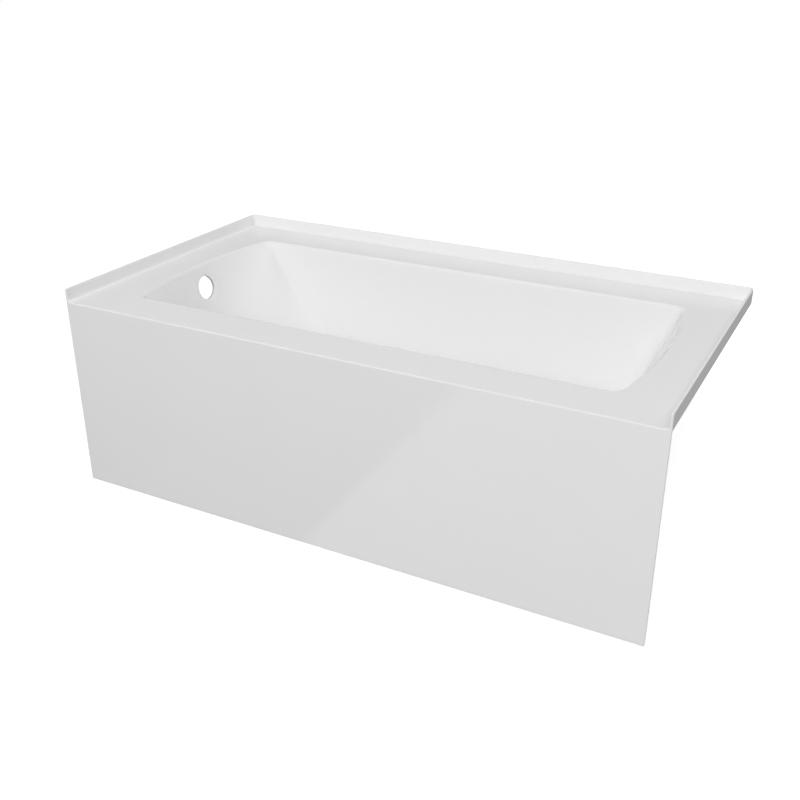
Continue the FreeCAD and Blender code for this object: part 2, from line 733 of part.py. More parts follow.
def bracket_screw_place(step, into):
    """The foot of a bracket's screw and the turn that points it into the rail or the bearer."""
    side_x = "(%s - bearer_wall / 2)" % bearer_x(step)
    middle_z = "bearer_lift + %s / 2" % BEARER_HEIGHT
    if into == "rail":
        spot = ("%s - bracket_screw_reach" % side_x, RAIL_BACK, middle_z)
        return spot, Rotation(Vector(1, 0, 0), 90), (0, 1)
    spot = (side_x, "%s + bracket_screw_reach" % RAIL_BACK, middle_z)
    return spot, Rotation(Vector(0, 1, 0), 90), (-1, 0)


def bracket_screw_hole(name, step, into):
    """The pilot hole that one bracket's screw needs in the timber."""
    spot, turn, _ = bracket_screw_place(step, into)
    hole = rod(name, spot, "screw_radius + hole_gap", "screw_length")
    hole.Placement.Rotation = turn
    return hole


def make_brackets():
    """The steel angles that tie the bearers to the apron's base rail, and their screws."""
    brackets, screws = [], []
    for end, step in BEARERS.items():
        side_x = "(%s - bearer_wall / 2)" % bearer_x(step)
        low_z = "bearer_lift + (%s - bracket_width) / 2" % BEARER_HEIGHT
        legs = [block("leg_bearer_" + end, ("%s - bracket_wall" % side_x, RAIL_BACK, low_z),
                      ("bracket_wall", "bracket_leg", "bracket_width")),
                block("leg_rail_" + end, ("%s - bracket_leg" % side_x, RAIL_BACK, low_z),
                      ("bracket_leg", "bracket_wall", "bracket_width"))]
        holes = []
        for into in ("rail", "bearer"):
            spot, turn, (out_x, out_y) = bracket_screw_place(step, into)
            outside = ("%s + %d * bracket_wall" % (spot[0], out_x),
                       "%s + %d * bracket_wall" % (spot[1], out_y), spot[2])
            beyond = ("%s + %d * screw_head" % (outside[0], out_x),
                      "%s + %d * screw_head" % (outside[1], out_y), spot[2])
            tag = "%s_%s" % (into, end)
            hole = rod("bracket_hole_" + tag, outside, "screw_radius + hole_gap", "bracket_wall")
            head = rod("bracket_screw_head_" + tag, beyond, "screw_head_radius", "screw_head")
            shank = rod("bracket_screw_shank_" + tag, outside, "screw_radius", "screw_length")
            for piece in (hole, head, shank):
                piece.Placement.Rotation = turn
            holes.append(hole)
            screws.append(fuse("bracket_screw_" + tag, [head, shank]))
        brackets.append(cut("bracket_" + end, fuse("bracket_blank_" + end, legs), holes))
    finish(group("all_brackets", brackets), "corner_brackets")
    finish(group("all_bracket_screws", screws), "bracket_screws")


# ---------------------------------------------------------------- build, check and write
make_shell()
make_laminate()
make_apron()
make_rails()
make_board()
make_bearers()
make_feet()
make_foot_plates()
make_board_screws()
make_brackets()
doc.recompute()

for thing in doc.Objects:
    if "Invalid" in thing.State or "Error" in thing.State:
        raise RuntimeError("%s did not recompute" % thing.Name)
os.makedirs("parts", exist_ok=True)
for thing in sub_parts:
    if thing.Shape.isNull() or not thing.Shape.isValid():
        raise RuntimeError("%s has no valid shape" % thing.Label)
    thing.Shape.exportStep("parts/%s.step" % thing.Label)
    print("%-28s %d solids, %.1f cm3" % (thing.Label, len(thing.Shape.Solids), thing.Shape.Volume / 1000))
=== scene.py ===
"""Alcove bathtub: its looks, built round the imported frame.

Metres. +X runs along the tub from the drain end to the backrest, +Y from the apron to the long
wall and +Z is up; the tub stands on z = 0.
"""
import logging
import math
from collections.abc import Callable
from dataclasses import dataclass
from enum import Enum
from functools import reduce

import bmesh
import bpy
from mathutils import Matrix, Vector, noise


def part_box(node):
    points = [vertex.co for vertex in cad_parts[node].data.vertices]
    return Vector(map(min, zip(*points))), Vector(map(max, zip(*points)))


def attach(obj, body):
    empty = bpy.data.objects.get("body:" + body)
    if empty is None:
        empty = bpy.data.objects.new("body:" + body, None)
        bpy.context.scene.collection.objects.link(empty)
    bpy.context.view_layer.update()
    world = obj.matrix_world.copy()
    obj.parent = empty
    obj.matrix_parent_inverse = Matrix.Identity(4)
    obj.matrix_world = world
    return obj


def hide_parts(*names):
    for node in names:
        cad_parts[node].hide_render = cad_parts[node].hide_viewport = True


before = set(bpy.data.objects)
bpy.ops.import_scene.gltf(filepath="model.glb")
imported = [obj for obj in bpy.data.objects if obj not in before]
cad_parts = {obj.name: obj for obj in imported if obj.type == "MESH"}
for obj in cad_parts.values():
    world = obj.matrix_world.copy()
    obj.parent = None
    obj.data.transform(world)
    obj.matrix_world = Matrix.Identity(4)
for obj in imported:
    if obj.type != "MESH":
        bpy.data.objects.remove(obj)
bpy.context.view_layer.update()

log = logging.getLogger("bathtub")

Colour = tuple[float, float, float]
Place = tuple[float, float, float]
Socket = bpy.types.NodeSocket
Sockets = bpy.types.bpy_prop_collection
Value = float | Place | Socket
Pair = tuple[Vector, Vector]
Wave = Callable[[float, float, float], tuple[float, float]]

WELD = 1e-6
UP = Vector((0.0, 0.0, 1.0))
WHITE_LIGHT = (1.0, 1.0, 1.0)
SIDES = ("front", "back")
ENDS = ("drain_end", "middle", "backrest_end")


class Slot(Enum):
    """The record's material slots."""

    WHITE = "white_acrylic"
    GLASS = "glass_fibre"
    BOARD = "chipboard"
    TIMBER = "softwood"
    ZINC = "zinc_steel"
    YELLOW = "yellow_zinc_screws"
    FOOT = "foot_plastic"


class Axis(Enum):
    """A direction that a bar, a grain or a screw runs in."""

    X = 0
    Y = 1
    Z = 2


# ---------------------------------------------------------------- shader graphs
class Graph:
    """One node tree while it is being wired."""

    COLUMNS = 12

    def __init__(self, tree: bpy.types.NodeTree) -> None:
        """Start on an empty tree."""
        self.tree = tree
        tree.nodes.clear()

    def add(self, kind: str, values: dict | None = None, **settings: object) -> bpy.types.Node:
        """Add a node.

        Args:
            kind: the node's type name.
            values: numbers or sockets for its inputs, by the inputs' names or places.
            settings: the node's own properties.

        Returns:
            The new node.
        """
        node = self.tree.nodes.new(kind)
        row, column = divmod(len(self.tree.nodes), self.COLUMNS)
        node.location = (180 * column, -220 * row)
        for name, value in settings.items():
            setattr(node, name, value)
        for name, value in (values or {}).items():
            self.put(node.inputs[name], value)
        return node

    def put(self, target: Socket, value: Value) -> None:
        """Give an input a number, or wire a socket to it.

        Args:
            target: the input.
            value: the number, the three numbers or the socket.
        """
        if isinstance(value, Socket):
            self.tree.links.new(value, target)
        elif hasattr(target.default_value, "__len__") and len(target.default_value) == 4:
            target.default_value = (*tuple(value)[:3], 1.0)
        else:
            target.default_value = value

    def math(self, operation: str, a: Value, b: Value = 0.0, clamp: bool = False) -> Socket:
        """The result of one sum on two numbers or sockets."""
        return self.add("ShaderNodeMath", {0: a, 1: b}, operation=operation,
                        use_clamp=clamp).outputs[0]

    def fold(self, operation: str, values: list[Socket]) -> Socket:
        """The result of one sum carried through a list."""
        return reduce(lambda a, b: self.math(operation, a, b), values)

    def rise(self, base: Value, mask: Socket, amount: float) -> Socket:
        """A value raised by an amount where a mask lies."""
        return self.math("ADD", base, self.math("MULTIPLY", mask, amount))

    def vector(self, operation: str, a: Value, b: Value) -> Socket:
        """The result of one sum on two vectors."""
        return self.add("ShaderNodeVectorMath", {0: a, 1: b}, operation=operation).outputs[0]

    def grow(self, vector: Socket, factor: Value) -> Socket:
        """A vector made longer or shorter."""
        return self.add("ShaderNodeVectorMath", {0: vector, "Scale": factor},
                        operation="SCALE").outputs[0]

    def split(self, vector: Socket) -> Sockets:
        """The three numbers of a vector or a colour."""
        return self.add("ShaderNodeSeparateXYZ", {0: vector}).outputs

    def unite(self, x: Value = 0.0, y: Value = 0.0, z: Value = 0.0) -> Socket:
        """A vector or a colour of three numbers."""
        return self.add("ShaderNodeCombineXYZ", {0: x, 1: y, 2: z}).outputs[0]

    def mix(self, factor: Value, a: Value, b: Value, blend: str = "MIX") -> Socket:
        """Two colours mixed by a factor.

        Args:
            factor: the share of the second.
            a: the first colour.
            b: the second colour.
            blend: how they are put together.

        Returns:
            The colour.
        """
        node = self.add("ShaderNodeMix", data_type="RGBA", blend_type=blend)
        for place, value in ((0, factor), (6, a), (7, b)):
            self.put(node.inputs[place], value)
        return node.outputs[2]

    def choose(self, share: Value, first: Socket, second: Socket) -> Socket:
        """Two shaders mixed by a share of the second."""
        return self.add("ShaderNodeMixShader", {0: share, 1: first, 2: second}).outputs[0]

    def noise(self, where: Socket, scale: Value, detail: float = 2.0,
              rough: float = 0.5) -> Socket:
        """Cloudy noise about 0.5."""
        return self.add("ShaderNodeTexNoise", {"Vector": where, "Scale": scale, "Detail": detail,
                                               "Roughness": rough}).outputs[0]

    def cells(self, where: Socket, scale: Value) -> Sockets:
        """Voronoi cells: their Distance and Color."""
        return self.add("ShaderNodeTexVoronoi", {"Vector": where, "Scale": scale}).outputs

    def remap(self, value: Value, low: float, high: float, to_low: float = 0.0,
              to_high: float = 1.0, smooth: bool = False) -> Socket:
        """A value carried from one range to another and kept inside it."""
        return self.add("ShaderNodeMapRange",
                        {0: value, 1: low, 2: high, 3: to_low, 4: to_high},
                        interpolation_type="SMOOTHSTEP" if smooth else "LINEAR").outputs[0]

    def stretch(self, where: Socket, scale: Place, turn: Place) -> Socket:
        """Coordinates turned, then scaled along each axis.

        Args:
            where: the coordinates.
            scale: what each axis is multiplied by.
            turn: the angles of the turn, in radians.

        Returns:
            The new coordinates.
        """
        turned = self.add("ShaderNodeVectorRotate", {"Vector": where, "Rotation": turn},
                          rotation_type="EULER_XYZ").outputs[0]
        return self.vector("MULTIPLY", turned, scale)

    def bump(self, height: Socket, distance: float, normal: Socket | None = None) -> Socket:
        """A normal tilted by a height, whose full range is a distance in metres.

        Args:
            height: the height, from nought to one.
            distance: its full range, in metres.
            normal: the normal to start from, or none for the surface's own.

        Returns:
            The tilted normal.
        """
        values = {"Height": height, "Distance": distance, "Strength": 1.0}
        if normal is not None:
            values["Normal"] = normal
        return self.add("ShaderNodeBump", values).outputs[0]


class Effect:
    """A shader node group with named inputs and outputs, built once."""

    def __init__(self, name: str, inputs: dict, outputs: tuple[tuple[str, str], ...]) -> None:
        """Make the empty group.

        Args:
            name: the group's name.
            inputs: each input's name with its usual number, or None for a vector.
            outputs: each output's name and whether it is a Float, Color or Vector.
        """
        self.tree = bpy.data.node_groups.new(name, "ShaderNodeTree")
        for title, number in inputs.items():
            kind = "NodeSocketVector" if number is None else "NodeSocketFloat"
            socket = self.tree.interface.new_socket(title, in_out="INPUT", socket_type=kind)
            if number is not None:
                socket.default_value = number
        for title, kind in outputs:
            self.tree.interface.new_socket(title, in_out="OUTPUT", socket_type="NodeSocket" + kind)
        self.graph = Graph(self.tree)
        self.inputs = self.graph.add("NodeGroupInput").outputs
        self.outputs = self.graph.add("NodeGroupOutput").inputs

    def give(self, title: str, value: Socket) -> None:
        """Wire one of the group's outputs."""
        self.graph.put(self.outputs[title], value)

    def use(self, graph: Graph, **values: Value) -> Sockets:
        """Place the group in a graph, with its inputs set, and hand over its outputs."""
        return graph.add("ShaderNodeGroup", values, node_tree=self.tree).outputs


class Effects:
    """The effects that several finishes share."""

    SKIN_SHARE = 0.02
    HAIRLINE_STRETCH = (900.0, 9.0, 9.0)
    HAIRLINE_TURNS = ((0.3, 0.2, 0.5), (0.9, 1.1, 2.1), (2.0, 0.4, 1.3))
    STRAND_STRETCH = (0.09, 1.0, 1.0)
    STRAND_SHIFT = (0.37, 0.21, 0.11)
    STRAND_TURNS = ((0.0, 0.0, 0.35), (0.0, 0.0, 1.25), (0.0, 0.0, 2.2), (0.5, 1.57, 0.2),
                    (1.57, 0.0, 0.9), (1.57, 0.6, 2.4), (0.9, 0.8, 1.7))
    STRAND_SWAY = 0.012
    BEND_STRETCH = (1.6, 5.0, 5.0)
    KNOT_STRETCH = (2.6, 9.0, 9.0)
    FIBRE_STRETCH = (28.0, 1500.0, 1500.0)
    RING_BEND = 9.0
    KNOT_BEND = 3.2
    RING_TILT = 0.35
    LATE_WOOD_EDGE = 2.4

    def __init__(self) -> None:
        """Build every group."""
        self.ripple = self.make_ripple()
        self.scratches = self.make_scratches()
        self.dust = self.make_dust()
        self.strands = self.make_strands()
        self.grain = self.make_grain()

    def make_ripple(self) -> Effect:
        """The slow waviness of a drawn sheet, with a finer skin on top."""
        effect = Effect("drawn_sheet_ripple", {"Where": None, "Slow": 6.0, "Fine": 260.0},
                        (("Height", "Float"), ("Cloud", "Float")))
        graph, given = effect.graph, effect.inputs
        slow = graph.noise(given["Where"], given["Slow"], 1.0)
        fine = graph.noise(given["Where"], given["Fine"], 1.0)
        effect.give("Height", graph.rise(slow, fine, self.SKIN_SHARE))
        effect.give("Cloud", slow)
        return effect

    def make_scratches(self) -> Effect:
        """Thin hairlines in three directions."""
        effect = Effect("hairlines", {"Where": None, "Amount": 0.5}, (("Mask", "Float"),))
        graph, given = effect.graph, effect.inputs
        lines = [graph.noise(graph.stretch(given["Where"], self.HAIRLINE_STRETCH, turn), 1.0)
                 for turn in self.HAIRLINE_TURNS]
        total = graph.fold("MAXIMUM", [graph.remap(line, 0.68, 0.74) for line in lines])
        patch = graph.remap(graph.noise(given["Where"], 5.0), 0.42, 0.62)
        effect.give("Mask", graph.fold("MULTIPLY", [total, patch, given["Amount"]]))
        return effect

    @staticmethod
    def make_dust() -> Effect:
        """Workshop dust, more of it on faces that look up."""
        effect = Effect("settled_dust", {"Where": None, "Amount": 0.5}, (("Mask", "Float"),))
        graph, given = effect.graph, effect.inputs
        normal = graph.add("ShaderNodeNewGeometry").outputs["Normal"]
        lying = graph.remap(graph.split(normal)[2], -0.4, 1.0, 0.25)
        cloud = graph.remap(graph.noise(given["Where"], 22.0, 6.0, 0.65), 0.38, 0.72)
        effect.give("Mask", graph.math("MULTIPLY", graph.math("MULTIPLY", cloud, lying),
                                       given["Amount"], clamp=True))
        return effect

    def make_strands(self) -> Effect:
        """A mat of chopped glass strands lying in every direction."""
        effect = Effect("chopped_strand_mat", {"Where": None, "Strand": 420.0},
                        (("Mask", "Float"), ("Height", "Float"), ("Wet", "Float")))
        graph, given = effect.graph, effect.inputs
        warped = graph.add("ShaderNodeTexNoise", {"Vector": given["Where"], "Scale": 14.0})
        where = graph.vector("ADD", given["Where"],
                             graph.grow(warped.outputs["Color"], self.STRAND_SWAY))
        shown, heights = [], []
        for count, turn in enumerate(self.STRAND_TURNS):
            shifted = graph.vector("ADD", where, tuple(count * step for step in self.STRAND_SHIFT))
            line = graph.cells(graph.stretch(shifted, self.STRAND_STRETCH, turn), given["Strand"])
            height = graph.remap(line["Distance"], 0.12, 0.42, 1.0, 0.0)
            tone = graph.remap(graph.split(line["Color"])[0], 0.35, 0.9)
            shown.append(graph.math("MULTIPLY", height, tone))
            heights.append(height)
        effect.give("Mask", graph.fold("MAXIMUM", shown))
        effect.give("Height", graph.fold("ADD", heights))
        effect.give("Wet", graph.remap(graph.noise(given["Where"], 9.0, 5.0, 0.6), 0.35, 0.7))
        return effect

    def make_grain(self) -> Effect:
        """Softwood grain running along the first axis of the coordinates."""
        effect = Effect("softwood_grain", {"Where": None, "Rings": 90.0},
                        (("Late", "Float"), ("Fibre", "Float"), ("Knot", "Float")))
        graph, where = effect.graph, effect.inputs["Where"]
        bent = graph.noise(graph.vector("MULTIPLY", where, self.BEND_STRETCH), 1.0)
        spots = graph.cells(graph.vector("MULTIPLY", where, self.KNOT_STRETCH), 1.0)
        near_knot = graph.remap(spots["Distance"], 0.0, 0.34, 1.0, 0.0, smooth=True)
        parts = graph.split(where)
        across = graph.rise(parts[1], parts[2], self.RING_TILT)
        phase = graph.math("MULTIPLY", across, effect.inputs["Rings"])
        phase = graph.rise(graph.rise(phase, bent, self.RING_BEND), near_knot, self.KNOT_BEND)
        fibre = graph.vector("MULTIPLY", where, self.FIBRE_STRETCH)
        effect.give("Late", graph.math("POWER", graph.math("FRACT", phase), self.LATE_WOOD_EDGE))
        effect.give("Fibre", graph.noise(fibre, 1.0, 3.0, 0.6))
        effect.give("Knot", graph.remap(spots["Distance"], 0.05, 0.11, 1.0, 0.0, smooth=True))
        return effect


class Coat:
    """A new material with its Principled shader, and what most finishes put on it."""

    def __init__(self, effects: Effects, name: str) -> None:
        """Make the material and wire its shader to the output.

        Args:
            effects: the shared effects.
            name: the material's name.
        """
        self.effects = effects
        self.material = bpy.data.materials.new(name)
        self.material.use_nodes = True
        self.graph = Graph(self.material.node_tree)
        self.shader = self.graph.add("ShaderNodeBsdfPrincipled")
        output = self.graph.add("ShaderNodeOutputMaterial")
        self.graph.put(output.inputs["Surface"], self.shader.outputs[0])
        self.where = self.graph.add("ShaderNodeTexCoord").outputs["Object"]

    def dust(self, amount: float) -> Socket:
        """Where dust lies."""
        return self.effects.dust.use(self.graph, Where=self.where, Amount=amount)["Mask"]

    def hairlines(self, amount: float, zoom: float = 1.0) -> Socket:
        """Where fine scratches run, packed closer by a zoom."""
        where = self.graph.vector("MULTIPLY", self.where, (zoom, zoom, zoom))
        return self.effects.scratches.use(self.graph, Where=where, Amount=amount)["Mask"]

    def cloud(self, scale: float, detail: float, rough: float, low: float, high: float) -> Socket:
        """Soft patches from nought to one.

        Args:
            scale: how many patches there are in a metre.
            detail: how many finer layers they have.
            rough: how strong the finer layers are.
            low: the noise that becomes nought.
            high: the noise that becomes one.

        Returns:
            The patches.
        """
        return self.graph.remap(self.graph.noise(self.where, scale, detail, rough), low, high)

    def finish(self, colour: Socket, rough: Socket, normal: Socket) -> bpy.types.Material:
        """Wire the shader, and hand the material over.

        Args:
            colour: its colour.
            rough: its roughness.
            normal: its normal.

        Returns:
            The material.
        """
        for title, value in (("Base Color", colour), ("Roughness", rough), ("Normal", normal)):
            self.graph.put(self.shader.inputs[title], value)
        return self.material


# ---------------------------------------------------------------- finishes
@dataclass(frozen=True)
class Acrylic:
    """Glossy white sheet, drawn over a mould; ribs are where a rib behind it shows through."""

    colour: Colour = (0.905, 0.905, 0.903)
    shade: Colour = (0.899, 0.899, 0.899)
    roughness: float = 0.075
    unevenness: float = 0.02
    patches: float = 16.0
    ior: float = 1.49
    scratched: float = 0.6
    scratch_roughness: float = 0.12
    scratch_depth: float = 0.000004
    dusty: float = 0.10
    dust_roughness: float = 0.3
    ripple_depth: float = 0.0007
    ribs: tuple[float, ...] = ()
    rib_reach: float = 0.012
    rib_height: float = 0.00012

    def make(self, effects: Effects, name: str) -> bpy.types.Material:
        """Build the material.

        Args:
            effects: the shared effects.
            name: the material's name.

        Returns:
            The material.
        """
        coat = Coat(effects, name)
        graph = coat.graph
        ripple = effects.ripple.use(graph, Where=coat.where)
        lines, dust = coat.hairlines(self.scratched), coat.dust(self.dusty)
        colour = graph.mix(graph.remap(ripple["Cloud"], 0.3, 0.7), self.colour, self.shade)
        rough = graph.remap(graph.noise(coat.where, self.patches, 4.0, 0.6), 0.3, 0.7,
                            self.roughness - self.unevenness, self.roughness + self.unevenness)
        rough = graph.rise(rough, lines, self.scratch_roughness)
        rough = graph.rise(rough, dust, self.dust_roughness)
        coat.shader.inputs["IOR"].default_value = self.ior
        normal = graph.bump(ripple["Height"], self.ripple_depth)
        normal = graph.bump(lines, self.scratch_depth, normal)
        if self.ribs:
            along = graph.split(coat.where)[0]
            away = [graph.math("ABSOLUTE", graph.math("SUBTRACT", along, rib))
                    for rib in self.ribs]
            swells = [graph.remap(reach, 0.0, self.rib_reach, 1.0, 0.0, smooth=True)
                      for reach in away]
            normal = graph.bump(graph.fold("ADD", swells), self.rib_height, normal)
        return coat.finish(colour, rough, normal)


@dataclass(frozen=True)
class Laminate:
    """Chopped glass strands rolled down in clear resin, pale where the overflow is drilled."""

    resin: Colour = (0.50, 0.52, 0.40)
    pale: Colour = (0.66, 0.68, 0.58)
    strand: Colour = (0.84, 0.86, 0.79)
    cut: Colour = (0.88, 0.88, 0.86)
    dust: Colour = (0.72, 0.71, 0.66)
    dusty: float = 0.5
    dust_roughness: float = 0.25
    hole: tuple[float, float] = (-0.005, 0.444)
    hole_edge: float = 0.0345
    hole_blur: float = 0.001
    roughness: float = 0.34
    wet_roughness: float = 0.22
    lumps: float = 34.0
    lump_height: float = 0.0016
    strand_height: float = 0.00035

    def cut_edge(self, coat: Coat) -> Socket:
        """The share of pale cut glass, which is one inside the overflow hole.

        Args:
            coat: the material that is being made.

        Returns:
            The share.
        """
        graph = coat.graph
        place = graph.split(coat.where)
        across = graph.math("SUBTRACT", place[1], self.hole[0])
        up = graph.math("SUBTRACT", place[2], self.hole[1])
        reach = graph.math("SQRT", graph.math("ADD", graph.math("MULTIPLY", across, across),
                                              graph.math("MULTIPLY", up, up)))
        near = graph.remap(reach, self.hole_edge, self.hole_edge + self.hole_blur, 1.0, 0.0)
        return graph.math("MULTIPLY", near, graph.math("LESS_THAN", place[0], 0.0))

    def make(self, effects: Effects, name: str) -> bpy.types.Material:
        """Build the material.

        Args:
            effects: the shared effects.
            name: the material's name.

        Returns:
            The material.
        """
        coat = Coat(effects, name)
        graph = coat.graph
        mat = effects.strands.use(graph, Where=coat.where)
        dust = coat.dust(self.dusty)
        colour = graph.mix(mat["Wet"], self.resin, self.pale)
        for share, over in ((mat["Mask"], self.strand), (dust, self.dust),
                            (self.cut_edge(coat), self.cut)):
            colour = graph.mix(share, colour, over)
        rough = graph.rise(self.roughness, mat["Wet"], self.wet_roughness)
        rough = graph.rise(rough, dust, self.dust_roughness)
        normal = graph.bump(graph.noise(coat.where, self.lumps, 4.0, 0.55), self.lump_height)
        return coat.finish(colour, rough, graph.bump(mat["Height"], self.strand_height, normal))


@dataclass(frozen=True)
class Strand:
    """A bundle of glass filaments wet with resin."""

    pale: Colour = (0.80, 0.82, 0.75)
    wet: Colour = (0.60, 0.62, 0.50)
    dust: Colour = (0.72, 0.71, 0.66)
    dusty: float = 0.3
    roughness: tuple[float, float] = (0.5, 0.3)
    filaments: float = 2200.0
    filament_height: float = 0.00005

    def make(self, effects: Effects, name: str) -> bpy.types.Material:
        """Build the material.

        Args:
            effects: the shared effects.
            name: the material's name.

        Returns:
            The material.
        """
        coat = Coat(effects, name)
        graph = coat.graph
        cloud = coat.cloud(40.0, 3.0, 0.5, 0.35, 0.65)
        colour = graph.mix(coat.dust(self.dusty), graph.mix(cloud, self.pale, self.wet), self.dust)
        rough = graph.remap(cloud, 0.0, 1.0, *self.roughness)
        filaments = graph.noise(coat.where, self.filaments, 1.0)
        return coat.finish(colour, rough, graph.bump(filaments, self.filament_height))


@dataclass(frozen=True)
class Timber:
    """Planed softwood whose grain runs along one axis."""

    run: Axis = Axis.X
    early: Colour = (0.62, 0.43, 0.24)
    late: Colour = (0.42, 0.245, 0.105)
    knot: Colour = (0.19, 0.09, 0.04)
    dust: Colour = (0.6, 0.55, 0.46)
    dusty: float = 0.6
    dust_share: float = 0.5
    roughness: tuple[float, float] = (0.72, 0.55)
    shade: float = 0.86
    late_share: float = 0.75
    fibre_tones: tuple[float, float] = (0.86, 1.08)
    rings: float = 92.0
    ring_height: float = 0.00025
    fibre_height: float = 0.00012

    def make(self, effects: Effects, name: str) -> bpy.types.Material:
        """Build the material.

        Args:
            effects: the shared effects.
            name: the material's name.

        Returns:
            The material.
        """
        coat = Coat(effects, name)
        graph = coat.graph
        parts = graph.split(coat.where)
        along = graph.unite(*(parts[(self.run.value + i) % 3] for i in range(3)))
        grain = effects.grain.use(graph, Where=along, Rings=self.rings)
        darker = tuple(self.shade * c for c in self.early)
        colour = graph.mix(coat.cloud(6.0, 3.0, 0.5, 0.3, 0.7), self.early, darker)
        late = graph.math("MULTIPLY", grain["Late"], self.late_share)
        colour = graph.mix(late, colour, self.late)
        fine = graph.remap(grain["Fibre"], 0.35, 0.65, *self.fibre_tones)
        colour = graph.mix(1.0, colour, graph.unite(fine, fine, fine), blend="MULTIPLY")
        colour = graph.mix(grain["Knot"], colour, self.knot)
        dust = graph.math("MULTIPLY", coat.dust(self.dusty), self.dust_share)
        colour = graph.mix(dust, colour, self.dust)
        rough = graph.remap(grain["Late"], 0.0, 1.0, *self.roughness)
        normal = graph.bump(grain["Late"], self.ring_height)
        return coat.finish(colour, rough, graph.bump(grain["Fibre"], self.fibre_height, normal))


@dataclass(frozen=True)
class Chipboard:
    """Pressed wood flakes in resin, in layers of finer and finer flakes."""

    pale: Colour = (0.60, 0.45, 0.27)
    dark: Colour = (0.31, 0.19, 0.09)
    dust: Colour = (0.62, 0.55, 0.44)
    dusty: float = 0.5
    flake: Place = (0.45, 1.0, 2.4)
    layers: tuple[tuple[float, float], ...] = ((0.4, 210.0), (1.9, 330.0), (2.7, 520.0))
    layer_share: float = 0.45
    roughness: tuple[float, float] = (0.5, 0.75)
    flake_height: float = 0.0002

    def make(self, effects: Effects, name: str) -> bpy.types.Material:
        """Build the material.

        Args:
            effects: the shared effects.
            name: the material's name.

        Returns:
            The material.
        """
        coat = Coat(effects, name)
        graph = coat.graph
        tones = []
        for turn, scale in self.layers:
            flakes = graph.cells(graph.stretch(coat.where, self.flake, (0.0, 0.0, turn)), scale)
            tones.append(graph.split(flakes["Color"])[0])
        colour = reduce(lambda under, over: graph.mix(self.layer_share, under, over),
                        [graph.mix(tone, self.dark, self.pale) for tone in tones])
        colour = graph.mix(coat.dust(self.dusty), colour, self.dust)
        height = graph.fold("ADD", tones)
        rough = graph.remap(height, 0.5, 2.5, *self.roughness)
        return coat.finish(colour, rough, graph.bump(height, self.flake_height))


@dataclass(frozen=True)
class PlatedSteel:
    """Zinc-plated steel, clear or yellow, with fine scuffs."""

    bright: Colour = (0.66, 0.68, 0.70)
    dull: Colour = (0.47, 0.49, 0.51)
    dust: Colour = (0.5, 0.48, 0.44)
    dusty: float = 0.25
    dust_roughness: float = 0.4
    metal_under_dust: float = 0.6
    glint: float = 1.2
    scuff_zoom: float = 4.0
    roughness: float = 0.30
    smoother: float = 0.08
    rougher: float = 0.1
    spangles: float = 420.0
    skin: float = 900.0
    skin_height: float = 0.00002

    def make(self, effects: Effects, name: str) -> bpy.types.Material:
        """Build the material.

        Args:
            effects: the shared effects.
            name: the material's name.

        Returns:
            The material.
        """
        coat = Coat(effects, name)
        graph = coat.graph
        tone = graph.split(graph.cells(coat.where, self.spangles)["Color"])[1]
        cloud = coat.cloud(55.0, 5.0, 0.6, 0.35, 0.68)
        lines, dust = coat.hairlines(1.0, self.scuff_zoom), coat.dust(self.dusty)
        colour = graph.mix(graph.math("MULTIPLY", tone, cloud), self.bright, self.dull)
        colour = graph.mix(lines, colour, tuple(min(1.0, self.glint * c) for c in self.bright))
        colour = graph.mix(dust, colour, self.dust)
        metal = graph.remap(dust, 0.0, 0.5, 1.0, self.metal_under_dust)
        graph.put(coat.shader.inputs["Metallic"], metal)
        rough = graph.remap(tone, 0.0, 1.0, self.roughness - self.smoother,
                            self.roughness + self.rougher)
        rough = graph.rise(rough, dust, self.dust_roughness)
        normal = graph.bump(graph.noise(coat.where, self.skin), self.skin_height)
        return coat.finish(colour, rough, graph.bump(lines, self.skin_height, normal))


@dataclass(frozen=True)
class Nylon:
    """Black moulded nylon with a fine spark-eroded skin."""

    colour: Colour = (0.035, 0.035, 0.037)
    scuffed: Colour = (0.11, 0.11, 0.11)
    dust: Colour = (0.3, 0.29, 0.27)
    dusty: float = 0.35
    scratched: float = 0.9
    scuff_zoom: float = 3.0
    scuff_share: float = 0.5
    roughness: tuple[float, float] = (0.42, 0.6)
    skin: float = 1600.0
    skin_height: float = 0.00003

    def make(self, effects: Effects, name: str) -> bpy.types.Material:
        """Build the material.

        Args:
            effects: the shared effects.
            name: the material's name.

        Returns:
            The material.
        """
        coat = Coat(effects, name)
        graph = coat.graph
        cloud = coat.cloud(90.0, 5.0, 0.6, 0.4, 0.72)
        lines = coat.hairlines(self.scratched, self.scuff_zoom)
        scuffs = graph.math("MAXIMUM", graph.math("MULTIPLY", cloud, self.scuff_share), lines)
        colour = graph.mix(scuffs, self.colour, self.scuffed)
        colour = graph.mix(coat.dust(self.dusty), colour, self.dust)
        rough = graph.remap(cloud, 0.0, 1.0, *self.roughness)
        skin = graph.noise(coat.where, self.skin)
        return coat.finish(colour, rough, graph.bump(skin, self.skin_height))


class Finishes:
    """Every finish, built once."""

    def __init__(self, effects: Effects) -> None:
        """Build the materials."""
        ribs = tuple(node_box("apron_rib_%d" % i).middle.x for i in range(1, 5))
        self.shell = Acrylic().make(effects, "white_acrylic_shell")
        self.apron = Acrylic(ribs=ribs).make(effects, "white_acrylic_apron")
        self.laminate = Laminate().make(effects, "glass_laminate")
        self.strand = Strand().make(effects, "loose_glass_strand")
        self.timber = {axis: Timber(run=axis).make(effects, "softwood_along_" + axis.name.lower())
                       for axis in Axis}
        self.board = Chipboard().make(effects, "flake_board")
        self.zinc = PlatedSteel().make(effects, "bright_zinc")
        self.yellow = PlatedSteel(bright=(0.68, 0.55, 0.24), dull=(0.50, 0.42, 0.26),
                                  roughness=0.34).make(effects, "yellow_zinc")
        self.nylon = Nylon().make(effects, "black_nylon")


